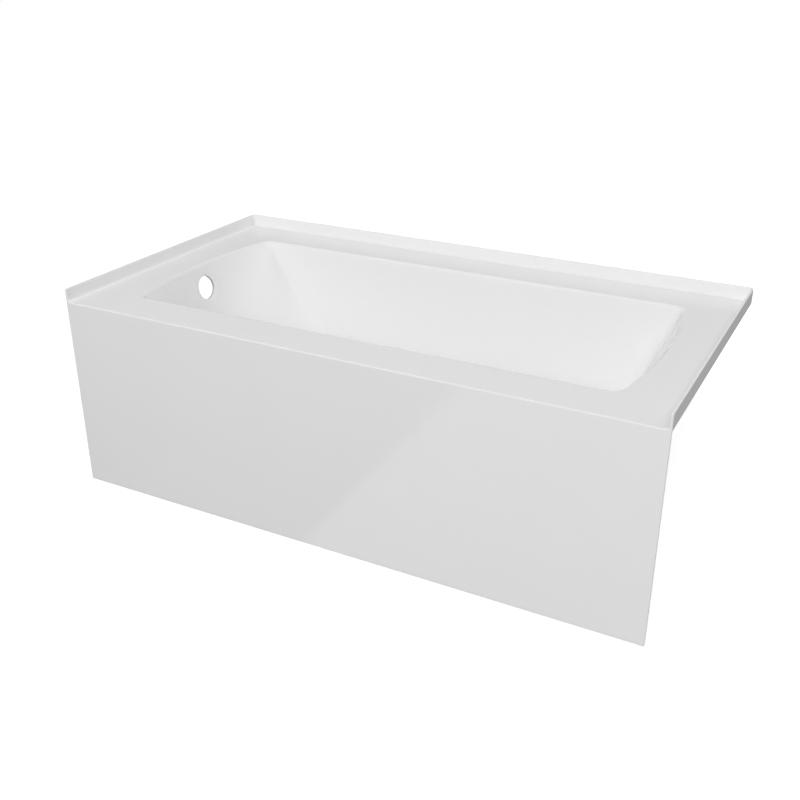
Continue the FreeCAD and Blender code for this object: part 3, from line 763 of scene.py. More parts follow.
# ---------------------------------------------------------------- meshes
@dataclass(frozen=True)
class Box:
    """A straight box in the frame, in metres."""

    low: Vector
    high: Vector

    @property
    def middle(self) -> Vector:
        """The box's middle."""
        return (self.low + self.high) / 2

    @property
    def size(self) -> Vector:
        """The box's three sides."""
        return self.high - self.low


def node_box(node: str) -> Box:
    """The box of a CAD node at rest."""
    return Box(*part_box(node))


def node_shape(node: str) -> bmesh.types.BMesh:
    """A copy of a CAD node's mesh, with its loose triangles joined.

    Args:
        node: the node's name.

    Returns:
        The shape.
    """
    shape = bmesh.new()
    shape.from_mesh(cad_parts[node].data)
    bmesh.ops.remove_doubles(shape, verts=shape.verts, dist=WELD)
    return shape


def node_solids(node: str) -> list[Box]:
    """The box of every separate solid in a CAD node, in a fixed order.

    Args:
        node: the node's name.

    Returns:
        One box for each solid, sorted by place.
    """
    shape = node_shape(node)
    unseen = set(shape.verts)
    found = []
    while unseen:
        solid = [unseen.pop()]
        for vert in solid:
            near = {other for edge in vert.link_edges for other in edge.verts} & unseen
            unseen -= near
            solid.extend(near)
        corners = [Vector(pick(v.co[i] for v in solid) for i in range(3)) for pick in (min, max)]
        found.append(Box(*corners))
    shape.free()
    return sorted(found, key=lambda box: tuple(round(c, 4) for c in box.middle))


def add_object(name: str, data: bpy.types.ID) -> bpy.types.Object:
    """A new object in the scene, at the origin.

    Args:
        name: the object's name.
        data: its mesh, lamp or camera.

    Returns:
        The object.
    """
    thing = bpy.data.objects.new(name, data)
    bpy.context.scene.collection.objects.link(thing)
    return thing


def as_mesh(name: str, shape: bmesh.types.BMesh) -> bpy.types.Mesh:
    """Turn a shape into a mesh, and free it.

    Args:
        name: the mesh's name.
        shape: the shape.

    Returns:
        The mesh.
    """
    mesh = bpy.data.meshes.new(name)
    shape.to_mesh(mesh)
    shape.free()
    return mesh


def link(name: str, shape: bmesh.types.BMesh,
         smooth_angle: float = math.radians(35)) -> bpy.types.Object:
    """Turn a shape into an object, smooth but for its sharp edges.

    Args:
        name: the object's name.
        shape: its geometry, which is freed.
        smooth_angle: the least turn between two faces that stays sharp.

    Returns:
        The object, at the origin.
    """
    bmesh.ops.recalc_face_normals(shape, faces=shape.faces)
    for face in shape.faces:
        face.smooth = True
    for edge in shape.edges:
        edge.smooth = len(edge.link_faces) == 2 and edge.calc_face_angle(0.0) < smooth_angle
    return add_object(name, as_mesh(name, shape))


def take(thing: bpy.types.Object) -> bmesh.types.BMesh:
    """Turn an object back into a shape, and delete it.

    Args:
        thing: the object.

    Returns:
        The shape.
    """
    shape = bmesh.new()
    shape.from_mesh(thing.data)
    bpy.data.objects.remove(thing)
    return shape


def settle(thing: bpy.types.Object) -> bpy.types.Object:
    """Turn an object's modifiers into plain mesh and take them off.

    Args:
        thing: the object.

    Returns:
        The same object.
    """
    bpy.context.view_layer.update()
    graph = bpy.context.evaluated_depsgraph_get()
    mesh = bpy.data.meshes.new_from_object(thing.evaluated_get(graph),
                                           preserve_all_data_layers=True, depsgraph=graph)
    thing.modifiers.clear()
    thing.data = mesh
    return thing


def carve(thing: bpy.types.Object, cutter: bmesh.types.BMesh) -> None:
    """Cut a shape out of an object.

    Args:
        thing: what is cut.
        cutter: the shape that is cut away, which is freed.
    """
    tool = link("cutter", cutter)
    cut = thing.modifiers.new("cut", "BOOLEAN")
    cut.operation = "DIFFERENCE"
    cut.solver = "EXACT"
    cut.object = tool
    settle(thing)
    bpy.data.objects.remove(tool)


def polar(radius: float, angle: float, height: float = 0.0) -> Vector:
    """The point at a radius, an angle and a height."""
    return Vector((radius * math.cos(angle), radius * math.sin(angle), height))


def angles(turns: int, start: float = 0.0) -> list[float]:
    """Even angles round a circle, the first of them a share of a step on."""
    return [2 * math.pi * (i + start) / turns for i in range(turns)]


def stack(rings: list[list[Vector]], looped: bool = False) -> bmesh.types.BMesh:
    """Skin a pile of rings.

    Args:
        rings: rings with the same number of points each.
        looped: whether the last ring meets the first one, or else both ends are closed.

    Returns:
        The shape.
    """
    shape = bmesh.new()
    rows = [[shape.verts.new(point) for point in ring] for ring in rings]
    if looped:
        rows.append(rows[0])
    count = len(rows[0])
    for lower, upper in zip(rows, rows[1:]):
        for i in range(count):
            j = (i + 1) % count
            shape.faces.new((lower[i], lower[j], upper[j], upper[i]))
    if not looped:
        shape.faces.new(rows[0])
        shape.faces.new(rows[-1])
    return shape


def lathe(profile: list[tuple[float, float]], turns: int,
          wave: Wave | None = None) -> bmesh.types.BMesh:
    """Turn a profile round the Z axis.

    Args:
        profile: radius and height of each point, from one end on the axis to the other.
        turns: how many steps go round.
        wave: an optional function of radius, height and angle that gives a new radius and height.

    Returns:
        The closed shape.
    """
    pole, pole_weld = 1e-5, 3e-5
    rings = []
    for radius, height in profile:
        ring = []
        for angle in angles(turns):
            r, z = wave(radius, height, angle) if wave else (radius, height)
            ring.append(polar(max(r, pole), angle, z))
        rings.append(ring)
    shape = stack(rings)
    bmesh.ops.remove_doubles(shape, verts=shape.verts, dist=pole_weld)
    return shape


def rod(radius: float, low: float, high: float, turns: int = 32) -> bmesh.types.BMesh:
    """A plain round bar on the Z axis."""
    return lathe([(0.0, low), (radius, low), (radius, high), (0.0, high)], turns)


def join(shapes: list[bmesh.types.BMesh]) -> bmesh.types.BMesh:
    """Put several shapes in one, and free them.

    Args:
        shapes: the shapes.

    Returns:
        The one shape.
    """
    whole = bmesh.new()
    for shape in shapes:
        mesh = as_mesh("part", shape)
        whole.from_mesh(mesh)
        bpy.data.meshes.remove(mesh)
    return whole


def hexagon_reach(radius: float, angle: float) -> float:
    """How far a hexagon reaches in one direction, from the radius of its corners."""
    flat = radius * math.cos(math.pi / 6)
    return flat / math.cos((angle % (math.pi / 3)) - math.pi / 6)


def hexagon(radius: float, low: float, high: float) -> bmesh.types.BMesh:
    """A hexagon bar whose corners are turned off at both ends.

    Args:
        radius: the distance from the middle to a corner.
        low: the height of its foot.
        high: the height of its top.

    Returns:
        The shape.
    """
    end_share, slope, steps, turns = 0.93, 0.9, 4, 48
    chamfer = radius * (1 - end_share)
    depth = chamfer * slope
    rises = [depth * k / steps for k in range(steps + 1)]
    rings = []
    for z in [low + rise for rise in rises] + [high - rise for rise in reversed(rises)]:
        limit = radius * end_share + min(z - low, high - z) * chamfer / depth
        rings.append([polar(min(hexagon_reach(radius, angle), limit), angle, z)
                      for angle in angles(turns, 0.5)])
    return stack(rings)


def thread(radius: float, depth: float, pitch: float, low: float, high: float) -> bmesh.types.BMesh:
    """A rod with a true helical thread, run out at both ends.

    Args:
        radius: the crest's radius.
        depth: the thread's depth.
        pitch: the rise of one turn.
        low: the height of its foot.
        high: the height of its top.

    Returns:
        The shape.
    """
    turns, rings_each_pitch, flank = 24, 6, 2.6
    steps = int((high - low) / (pitch / rings_each_pitch))
    rings = []
    for k in range(steps + 1):
        z = low + (high - low) * k / steps
        fade = min(1.0, (z - low) / pitch, (high - z) / pitch)
        ring = []
        for i, angle in enumerate(angles(turns)):
            share = (z / pitch - i / turns) % 1.0
            crest = min(1.0, flank * min(share, 1 - share))
            ring.append(polar(radius - depth * (1 - crest * fade), angle, z))
        rings.append(ring)
    return stack(rings)


def move(shape: bmesh.types.BMesh, x: float, y: float, z: float = 0.0) -> bmesh.types.BMesh:
    """Shift a shape."""
    bmesh.ops.translate(shape, vec=Vector((x, y, z)), verts=shape.verts)
    return shape


def dress(node: str, material: bpy.types.Material) -> None:
    """Give a CAD node its finish and keep its shape.

    Args:
        node: the node's name.
        material: its finish.
    """
    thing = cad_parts[node]
    thing.data.materials.clear()
    thing.data.materials.append(material)
    log.info("dressed %s", node)


def seat(thing: bpy.types.Object, body: str, slot: Slot, *nodes: str,
         material: bpy.types.Material | None = None) -> None:
    """Finish a new piece.

    Args:
        thing: the piece.
        body: the body that it moves with.
        slot: the record's slot for its material; not used.
        nodes: the CAD nodes that it stands for, if any.
        material: its finish, where its mesh has none yet.
    """
    if material is not None:
        thing.data.materials.clear()
        thing.data.materials.append(material)
    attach(thing, body)
    if nodes:
        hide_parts(*nodes)
    log.info("made %s, %d faces", thing.name, len(thing.data.polygons))


# ---------------------------------------------------------------- geometry nodes
class Tree(Graph):
    """A geometry tree with named inputs that ends in Realize Instances and Set Material."""

    def __init__(self, name: str, inputs: dict[str, str]) -> None:
        """Make the tree and its sockets.

        Args:
            name: the tree's name.
            inputs: each input's name with its socket kind, such as Float or Object.
        """
        super().__init__(bpy.data.node_groups.new(name, "GeometryNodeTree"))
        face = self.tree.interface
        face.new_socket("Geometry", in_out="INPUT", socket_type="NodeSocketGeometry")
        self.keys = {}
        for title, kind in {**inputs, "Finish": "Material"}.items():
            socket = face.new_socket(title, in_out="INPUT", socket_type="NodeSocket" + kind)
            self.keys[title] = socket.identifier
        face.new_socket("Geometry", in_out="OUTPUT", socket_type="NodeSocketGeometry")
        self.given = self.add("NodeGroupInput").outputs

    @staticmethod
    def live(node: bpy.types.Node) -> Socket:
        """The first output that a node's data type leaves in use."""
        return next(socket for socket in node.outputs if socket.enabled)

    def part(self, title: str) -> Socket:
        """The geometry of an object that is one of the inputs."""
        return self.add("GeometryNodeObjectInfo", {"Object": self.given[title]}).outputs["Geometry"]

    def attribute(self, name: str, kind: str) -> Socket:
        """A value that the points carry."""
        return self.live(self.add("GeometryNodeInputNamedAttribute", {"Name": name},
                                  data_type=kind))

    def chance(self, **limits: Value) -> Socket:
        """A number drawn for each point."""
        return self.live(self.add("FunctionNodeRandomValue", limits, data_type="FLOAT"))

    def spin(self, rotation: Socket, angle: Socket) -> Socket:
        """A rotation turned on about its own Z axis.

        Args:
            rotation: the rotation.
            angle: how far to turn it, in radians.

        Returns:
            The new rotation.
        """
        turn = self.add("FunctionNodeEulerToRotation", {0: self.unite(z=angle)}).outputs[0]
        return self.add("FunctionNodeRotateRotation", {"Rotation": rotation, "Rotate By": turn},
                        rotation_space="LOCAL").outputs[0]

    def copies(self, points: Socket, part: Socket, rotation: Socket, scale: Socket) -> Socket:
        """A copy of a part on each point.

        Args:
            points: where they go.
            part: what is copied.
            rotation: the turn of each.
            scale: the size of each.

        Returns:
            The instances.
        """
        return self.add("GeometryNodeInstanceOnPoints",
                        {"Points": points, "Instance": part, "Rotation": rotation,
                         "Scale": scale}).outputs[0]

    def end(self, geometry: Socket, drape: Callable[[Socket], Socket] | None = None) -> None:
        """Close the tree on its result.

        Args:
            geometry: the instances.
            drape: an optional function that moves the realized points.
        """
        real = self.add("GeometryNodeRealizeInstances", {"Geometry": geometry}).outputs[0]
        if drape is not None:
            real = drape(real)
        done = self.add("GeometryNodeSetMaterial",
                        {"Geometry": real, "Material": self.given["Finish"]})
        output = self.add("NodeGroupOutput")
        self.put(output.inputs[0], done.outputs[0])

    def run(self, thing: bpy.types.Object, **values: object) -> bpy.types.Object:
        """Run the tree on an object and keep the plain mesh that comes out.

        Args:
            thing: the object that carries the tree.
            values: the tree's inputs by name.

        Returns:
            The same object with the result as its mesh.
        """
        modifier = thing.modifiers.new(self.tree.name, "NODES")
        modifier.node_group = self.tree
        for title, value in values.items():
            modifier[self.keys[title]] = value
        return settle(thing)


class Patterns:
    """The geometry trees for what repeats."""

    TURN_SEED = 7
    LENGTH_SEED = 3
    LENGTHS = (0.6, 1.25)

    def __init__(self) -> None:
        """Build every tree."""
        self.fasteners = self.make_fasteners()
        self.strands = self.make_strands()

    @staticmethod
    def make_fasteners() -> Tree:
        """One fastener on each point, along the point's own aim, each turned by chance."""
        tree = Tree("fasteners_on_points", {"Fastener": "Object", "Size": "Float",
                                            "Spin": "Float", "Seed": "Int"})
        along = tree.add("FunctionNodeAlignRotationToVector",
                         {"Vector": tree.attribute("aim", "FLOAT_VECTOR")}, axis="Z").outputs[0]
        angle = tree.chance(Max=tree.given["Spin"], Seed=tree.given["Seed"])
        tree.end(tree.copies(tree.given["Geometry"], tree.part("Fastener"),
                             tree.spin(along, angle), tree.given["Size"]))
        return tree

    def make_strands(self) -> Tree:
        """Strands strewn over a surface and laid down on it, however it curves."""
        tree = Tree("strands_on_surface", {"Strand": "Object", "Density": "Float", "Seed": "Int"})
        surface = tree.given["Geometry"]
        points = tree.add("GeometryNodeDistributePointsOnFaces",
                          {"Mesh": surface, "Density": tree.given["Density"],
                           "Seed": tree.given["Seed"]}).outputs
        angle = tree.chance(Max=2 * math.pi, Seed=self.TURN_SEED)
        shortest, longest = self.LENGTHS
        length = tree.chance(Min=shortest, Max=longest, Seed=self.LENGTH_SEED)
        laid = tree.copies(points["Points"], tree.part("Strand"),
                           tree.spin(points["Rotation"], angle), tree.unite(length, 1.0, 1.0))

        def drape(real: Socket) -> Socket:
            """Bring every point down to its own height over the surface.

            Args:
                real: the realized strands.

            Returns:
                The strands in place.
            """
            near = tree.add("GeometryNodeProximity", {0: surface}, target_element="FACES")
            normal = tree.add("GeometryNodeInputNormal").outputs[0]
            sample = tree.add("GeometryNodeSampleNearestSurface",
                              {"Mesh": surface, "Value": normal}, data_type="FLOAT_VECTOR")
            raised = tree.grow(sample.outputs[0], tree.attribute("lift", "FLOAT"))
            goal = tree.vector("ADD", near.outputs["Position"], raised)
            return tree.add("GeometryNodeSetPosition",
                            {"Geometry": real, "Position": goal}).outputs[0]

        tree.end(laid, drape)
        return tree

    def repeat(self, part: bpy.types.Object, name: str, places: list[Pair],
               finish: bpy.types.Material, seed: int, spin: float = 0.0) -> bpy.types.Object:
        """Put a copy of a part on each place, and delete the part.

        Args:
            part: what is copied, made round the origin.
            name: the new object's name.
            places: each copy's place, with the way that its Z axis looks.
            finish: the copies' material.
            seed: the chance of their turns.
            spin: how far they may be turned about their own Z axis.

        Returns:
            One object with all the copies.
        """
        mesh = bpy.data.meshes.new(name)
        mesh.from_pydata([tuple(place) for place, _ in places], [], [])
        aims = mesh.attributes.new("aim", "FLOAT_VECTOR", "POINT")
        for i, (_, aim) in enumerate(places):
            aims.data[i].vector = aim
        thing = add_object(name, mesh)
        self.fasteners.run(thing, Fastener=part, Size=1.0, Spin=spin, Seed=seed, Finish=finish)
        bpy.data.objects.remove(part)
        return thing


# ---------------------------------------------------------------- sub-assemblies
@dataclass
class Skin:
    """What the photograph shows: the white acrylic tub and its apron."""

    finishes: Finishes
    weight: int = 50

    def polish(self, node: str) -> None:
        """Let the flats set the shading of the narrow rounds between them.

        Args:
            node: the node's name.
        """
        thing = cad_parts[node]
        weld = thing.modifiers.new("weld", "WELD")
        weld.merge_threshold = WELD
        shading = thing.modifiers.new("shading", "WEIGHTED_NORMAL")
        shading.mode = "FACE_AREA_WITH_ANGLE"
        shading.weight = self.weight
        shading.keep_sharp = True

    def make(self) -> None:
        """Dress the two white nodes."""
        for node, finish in (("acrylic_shell", self.finishes.shell),
                             ("apron_panel", self.finishes.apron)):
            dress(node, finish)
            self.polish(node)


@dataclass
class Backing:
    """The glass laminate behind the acrylic, with strands that stand proud of its resin."""

    finishes: Finishes
    patterns: Patterns
    strand_length: float = 0.042
    strand_width: float = 0.0011
    strand_height: float = 0.00022
    strand_sunk: float = 0.0001
    strand_sway: float = 0.09
    strand_taper: float = 1.2
    strand_steps: int = 6
    density: float = 1500.0
    seed: int = 11
    inside: Place = (0.0, -0.005, 0.62)
    facing: float = 0.9
    slab_depth: float = 0.02
    slab_edge: float = 0.006
    least_reach: float = 0.02

    def strand(self) -> bpy.types.Object:
        """One flat strand along X, with each point's height kept as its lift."""
        rings = []
        for i in range(self.strand_steps + 1):
            share = i / self.strand_steps - 0.5
            x = share * self.strand_length
            sway = self.strand_sway * self.strand_length * math.sin(2.3 * share + 0.4) ** 2
            wide = self.strand_width * (1 - self.strand_taper * share * share)
            rings.append([Vector((x, sway - wide / 2, 0.0)),
                          Vector((x, sway, self.strand_height)),
                          Vector((x, sway + wide / 2, 0.0))])
        thing = link("strand", stack(rings), math.pi)
        lift = thing.data.attributes.new("lift", "FLOAT", "POINT")
        for i, vert in enumerate(thing.data.vertices):
            lift.data[i].value = vert.co.z if vert.co.z > 0 else -self.strand_sunk
        return thing

    def is_outer(self, node: str, face: bmesh.types.BMFace, top: float) -> bool:
        """Whether a face of a laminate looks away from the acrylic.

        Args:
            node: the laminate's node.
            face: the face.
            top: the height of the laminate's upper side.

        Returns:
            True for an outer face.
        """
        if node == "apron_laminate":
            return face.normal.y > self.facing
        centre = face.calc_center_median()
        under_deck = face.normal.z < -self.facing and centre.z > top - self.slab_depth
        outward = (centre - Vector(self.inside)).dot(face.normal) > self.least_reach
        return under_deck or (outward and centre.z < top - self.slab_edge)

    def outer_faces(self, node: str, name: str) -> bpy.types.Object:
        """An object with a laminate's outer faces alone.

        Args:
            node: the laminate's node.
            name: the new object's name.

        Returns:
            The object.
        """
        shape = node_shape(node)
        top = node_box(node).high.z
        inner = [face for face in shape.faces if not self.is_outer(node, face, top)]
        bmesh.ops.delete(shape, geom=inner, context="FACES")
        return add_object(name, as_mesh(name, shape))

    def make(self) -> None:
        """Dress the laminates and strew their strands."""
        strand = self.strand()
        for node, name in (("glass_fibre_backing", "tub_strands"),
                           ("apron_laminate", "apron_strands")):
            dress(node, self.finishes.laminate)
            surface = self.outer_faces(node, name)
            self.patterns.strands.run(surface, Strand=strand, Density=self.density,
                                      Seed=self.seed, Finish=self.finishes.strand)
            for face in surface.data.polygons:
                face.use_smooth = True
            seat(surface, "tub", Slot.GLASS)
        bpy.data.objects.remove(strand)


@dataclass
class Framing:
    """The softwood rails, ribs and bearers and the board under the floor."""

    finishes: Finishes
    arris: float = 0.0024
    arris_steps: int = 3
    arris_shape: float = 0.6
    step: float = 0.04
    roughness: float = 0.00035
    bumps_each_metre: float = 17.0
    sharp_angle: float = math.radians(50)
    well_radius: float = 0.006
    well_depth: float = 0.031
    well_start: float = 0.001

    RAILS = {"rim_rail_front": Axis.X, "rim_rail_back": Axis.X, "apron_base_rail": Axis.X,
             "rim_rail_drain_end": Axis.Y, "rim_rail_backrest_end": Axis.Y,
             **{"apron_rib_%d" % i: Axis.Z for i in range(1, 5)}}

    def bar(self, node: str, axis: Axis) -> bpy.types.Object:
        """A planed bar with eased arrises and a slightly uneven face, inside its node's box.

        Args:
            node: the node that it stands for.
            axis: the way it runs.

        Returns:
            The object.
        """
        box = node_box(node)
        shape = bmesh.new()
        bmesh.ops.create_cube(shape, size=1.0)
        bmesh.ops.scale(shape, vec=box.size, verts=shape.verts)
        bmesh.ops.translate(shape, vec=box.middle, verts=shape.verts)
        bmesh.ops.bevel(shape, geom=shape.edges[:], offset=self.arris, segments=self.arris_steps,
                        profile=self.arris_shape, affect="EDGES", clamp_overlap=True)
        along = axis.value
        normal = Vector([1.0 if i == along else 0.0 for i in range(3)])
        cuts = int(box.size[along] / self.step)
        for k in range(1, cuts):
            point = box.low + normal * (box.size[along] * k / cuts)
            bmesh.ops.bisect_plane(shape, geom=shape.verts[:] + shape.edges[:] + shape.faces[:],
                                   plane_co=point, plane_no=normal)
        for vert in shape.verts:
            inward = box.middle - vert.co
            inward[along] = 0.0
            depth = 0.5 + 0.5 * noise.noise(vert.co * self.bumps_each_metre)
            vert.co += inward.normalized() * depth * self.roughness
        return link(node + "_bar", shape, self.sharp_angle)

    def wells(self, end: str, bottom: float) -> bmesh.types.BMesh:
        """The two blind holes in a bearer for its studs, from under its lower side up.

        Args:
            end: the end of the bearer's name.
            bottom: the height of its lower side.

        Returns:
            The shape to cut away.
        """
        holes = []
        for side in SIDES:
            stud = node_box("foot_stud_%s_%s" % (side, end)).middle
            hole = rod(self.well_radius, 0.0, self.well_depth + self.well_start, 24)
            holes.append(move(hole, stud.x, stud.y, bottom - self.well_start))
        return join(holes)

    def make(self) -> None:
        """Build every bar and dress the board."""
        for node, axis in self.RAILS.items():
            seat(self.bar(node, axis), "tub", Slot.TIMBER, node,
                 material=self.finishes.timber[axis])
        for end in ENDS:
            node = "bearer_" + end
            bearer = self.bar(node, Axis.Y)
            carve(bearer, self.wells(end, node_box(node).low.z))
            seat(bearer, "tub", Slot.TIMBER, node, material=self.finishes.timber[Axis.Y])
        dress("base_board", self.finishes.board)


@dataclass
class Screws:
    """Every screw: a pan head with a cross recess on a tapered, threaded shank."""

    finishes: Finishes
    patterns: Patterns
    head_radius: float = 0.0044
    head_height: float = 0.0024
    shank_radius: float = 0.0021
    plain_share: float = 0.35
    plain_radius: float = 0.86
    root_radius: float = 0.74
    pitch: float = 0.0016
    turns: int = 10
    tip_radius: float = 0.0001
    taper_length: float = 0.006
    taper_start: float = 0.2
    recess_reach: float = 0.0023
    recess_width: float = 0.00075
    recess_depth: float = 0.0015
    recess_over: float = 0.001

    def head(self) -> bpy.types.Object:
        """The pan head on the origin, with its cross recess."""
        r, h = self.head_radius, self.head_height
        head = link("head", lathe([(0.0, 0.0), (0.93 * r, 0.0), (r, 0.12 * h), (r, 0.4 * h),
                                   (0.93 * r, 0.68 * h), (0.74 * r, 0.88 * h),
                                   (0.42 * r, 0.98 * h), (0.0, h)], 32))
        corners = ((-1, -1), (1, -1), (1, 1), (-1, 1))
        for turn in (0.0, math.pi / 2):
            rings = []
            for z, share in ((h - self.recess_depth, 0.55), (h + self.recess_over, 1.12)):
                x, y = self.recess_reach * share, self.recess_width * (0.6 + 0.4 * share)
                rings.append([Vector((a * x, b * y, z)) for a, b in corners])
            arm = stack(rings)
            bmesh.ops.transform(arm, matrix=Matrix.Rotation(turn, 4, "Z"), verts=arm.verts)
            carve(head, arm)
        return head

    def shank(self, length: float) -> bmesh.types.BMesh:
        """The shank under the origin: a tip, a tapered thread and a plain neck.

        Args:
            length: the shank's length.

        Returns:
            The shape.
        """
        rings = [[polar(self.tip_radius, angle, -length) for angle in angles(self.turns)]]
        steps = int(length / (self.pitch / 2))
        for k in range(steps + 1):
            z = -length + length * k / steps
            taper = min(1.0, (z + length) / self.taper_length + self.taper_start)
            if z > -self.plain_share * length:
                share = self.plain_radius
            else:
                share = 1.0 if k % 2 else self.root_radius
            radius = self.shank_radius * taper * share
            rings.append([polar(radius, angle, z) for angle in angles(self.turns)])
        return stack(rings)

    def aim(self, box: Box, sideways: bool) -> Vector:
        """The way that a screw's head looks, from its box.

        Args:
            box: the screw's box.
            sideways: whether it lies level.

        Returns:
            The direction.
        """
        if not sideways:
            return -UP
        return Vector((-1.0, 0.0, 0.0)) if box.size.x > box.size.y else Vector((0.0, 1.0, 0.0))

    def make_set(self, name: str, node: str, seed: int, sideways: bool = False) -> None:
        """Build all the screws of one node.

        Args:
            name: the new piece's name.
            node: the node that it replaces.
            seed: the chance of the heads' turns.
            sideways: whether the screws lie level, as a bracket's do.
        """
        boxes = node_solids(node)
        whole = max(boxes[0].size)
        places = []
        for box in boxes:
            aim = self.aim(box, sideways)
            places.append((box.middle + aim * (whole / 2 - self.head_height), aim))
        screw = link("screw", join([take(self.head()), self.shank(whole - self.head_height)]))
        thing = self.patterns.repeat(screw, name, places, self.finishes.yellow, seed, 2 * math.pi)
        seat(thing, "tub", Slot.YELLOW, node)

    def make(self) -> None:
        """Build every screw."""
        self.make_set("plate_screw_set", "foot_plate_screws", 3)
        self.make_set("board_screw_set", "board_screws", 4)
        self.make_set("bracket_screw_set", "bracket_screws", 5, sideways=True)


@dataclass
class Steelwork:
    """The foot plates with their welded nuts, and the corner brackets."""

    finishes: Finishes
    patterns: Patterns
    corner: float = 0.005
    corner_steps: int = 6
    edge: float = 0.0005
    nut_radius: float = 0.0098
    bore: float = 0.00505
    bore_chamfer: float = 0.0015
    stud_gap: float = 0.0003
    cut_reach: float = 0.01
    bead: float = 0.0013
    bead_steps: int = 48
    bead_sunk: float = 0.0002
    bead_root: float = 0.001
    bend: float = 0.004
    wall: float = 0.0025
    seed: int = 21

    def set_out(self, part: bpy.types.Object, name: str, node: str, boxes: list[Box]) -> None:
        """Put a copy of a part in each box, in the place of their node.

        Args:
            part: what is copied.
            name: the new piece's name.
            node: the node that it replaces.
            boxes: the boxes of the node's solids.
        """
        places = [(box.middle, UP) for box in boxes]
        thing = self.patterns.repeat(part, name, places, self.finishes.zinc, self.seed)
        seat(thing, "tub", Slot.ZINC, node)

    def rounded(self, wide: float, deep: float) -> list[Vector]:
        """The outline of a rectangle with round corners, about the origin.

        Args:
            wide: its side along X.
            deep: its side along Y.

        Returns:
            The points, in order.
        """
        x, y = wide / 2 - self.corner, deep / 2 - self.corner
        points = []
        for k, (sx, sy) in enumerate(((1, 1), (-1, 1), (-1, -1), (1, -1))):
            for i in range(self.corner_steps + 1):
                angle = math.pi / 2 * (k + i / self.corner_steps)
                points.append(Vector((sx * x, sy * y, 0.0)) + polar(self.corner, angle))
        return points

    def slab(self, outline: list[Vector], low: float, high: float) -> bmesh.types.BMesh:
        """A flat piece with eased edges, from its outline.

        Args:
            outline: the points of the outline, about the origin.
            low: the height of its lower side.
            high: the height of its upper side.

        Returns:
            The shape.
        """
        edge = self.edge
        rings = []
        for z, inset in ((low, edge), (low + edge, 0.0), (high - edge, 0.0), (high, edge)):
            rings.append([point - point.normalized() * inset + UP * z for point in outline])
        return stack(rings)

    def make_plates(self) -> None:
        """The six plates, each with a stud hole."""
        boxes = node_solids("foot_plates")
        size = boxes[0].size
        plate = link("plate", self.slab(self.rounded(size.x, size.y), -size.z / 2, size.z / 2))
        carve(plate, rod(self.bore + self.stud_gap, -self.cut_reach, self.cut_reach))
        self.set_out(plate, "foot_plate_set", "foot_plates", boxes)

    def weld_bead(self, top: float) -> bmesh.types.BMesh:
        """The lumpy bead round a nut's upper end.

        Args:
            top: the height of the nut's upper end.

        Returns:
            The shape.
        """
        rings = []
        for k, angle in enumerate(angles(self.bead_steps, 0.5)):
            reach = hexagon_reach(self.nut_radius, angle) - self.bead_sunk
            fat = self.bead * (0.8 + 0.25 * math.sin(k * 2.1) + 0.15 * math.sin(k * 3.7 + 1))
            ring = [polar(reach + fat * math.cos(turn), angle, top - fat * math.sin(turn))
                    for turn in (0.0, math.pi / 4, math.pi / 2)]
            rings.append(ring + [polar(reach - self.bead_root, angle, top)])
        return stack(rings, looped=True)

    def make_nuts(self) -> None:
        """The six nuts, chamfered, bored and tacked to their plates with a lumpy bead."""
        boxes = node_solids("foot_nuts")
        half = boxes[0].size.z / 2
        nut = link("nut", hexagon(self.nut_radius, -half, half))
        reach, chamfer = self.cut_reach, self.bore_chamfer
        carve(nut, lathe([(0.0, -reach), (self.bore + chamfer + reach - half, -reach),
                          (self.bore, chamfer - half), (self.bore, reach), (0.0, reach)], 32))
        nut = link("nut", join([take(nut), self.weld_bead(half)]))
        self.set_out(nut, "foot_nut_set", "foot_nuts", boxes)

    def make_brackets(self) -> None:
        """The three folded angles, with a round bend and round corners."""
        boxes = node_solids("corner_brackets")
        leg, half = boxes[0].size.x / 2, boxes[0].size.z / 2
        wall, edge, steps = self.wall, self.edge, self.corner_steps
        outer = self.bend + wall
        middle = Vector((leg - outer, outer - leg, 0.0))
        fold = []
        for i in range(steps + 1):
            outward = polar(1.0, -math.pi / 2 + math.pi / 2 * i / steps)
            fold.append((middle + outward * outer, middle + outward * self.bend))
        start = (Vector((-leg, -leg, 0.0)), Vector((-leg, wall - leg, 0.0)))
        end = (Vector((leg, leg, 0.0)), Vector((leg - wall, leg, 0.0)))

        def from_tip(tip: Pair, bend: Pair) -> list[Pair]:
            """Pairs from a leg's tip on, close together where its corners turn.

            Args:
                tip: the leg's outer and inner points at its tip.
                bend: the same at the bend.

            Returns:
                The pairs, from the tip on.
            """
            share = self.corner / (bend[0] - tip[0]).length
            places = [share * (1 - math.cos(math.pi / 2 * k / steps)) for k in range(steps + 1)]
            return [(tip[0].lerp(bend[0], place), tip[1].lerp(bend[1], place))
                    for place in places]

        path = from_tip(start, fold[0]) + fold + from_tip(end, fold[-1])[::-1]
        rings = []
        for outside, inside in path:
            from_end = min((outside - start[0]).length, (outside - end[0]).length)
            trim = max(0.0, self.corner - from_end)
            high = half - (self.corner - math.sqrt(max(0.0, self.corner ** 2 - trim ** 2)))
            eased = (inside - outside).normalized() * edge
            upper = [(inside, high - edge), (inside - eased, high), (outside + eased, high),
                     (outside, high - edge)]
            rings.append([point - UP * z for point, z in reversed(upper)]
                         + [point + UP * z for point, z in upper])
        self.set_out(link("bracket", stack(rings)), "corner_bracket_set", "corner_brackets", boxes)

    def make(self) -> None:
        """Build all the steelwork."""
        self.make_plates()
        self.make_nuts()
        self.make_brackets()


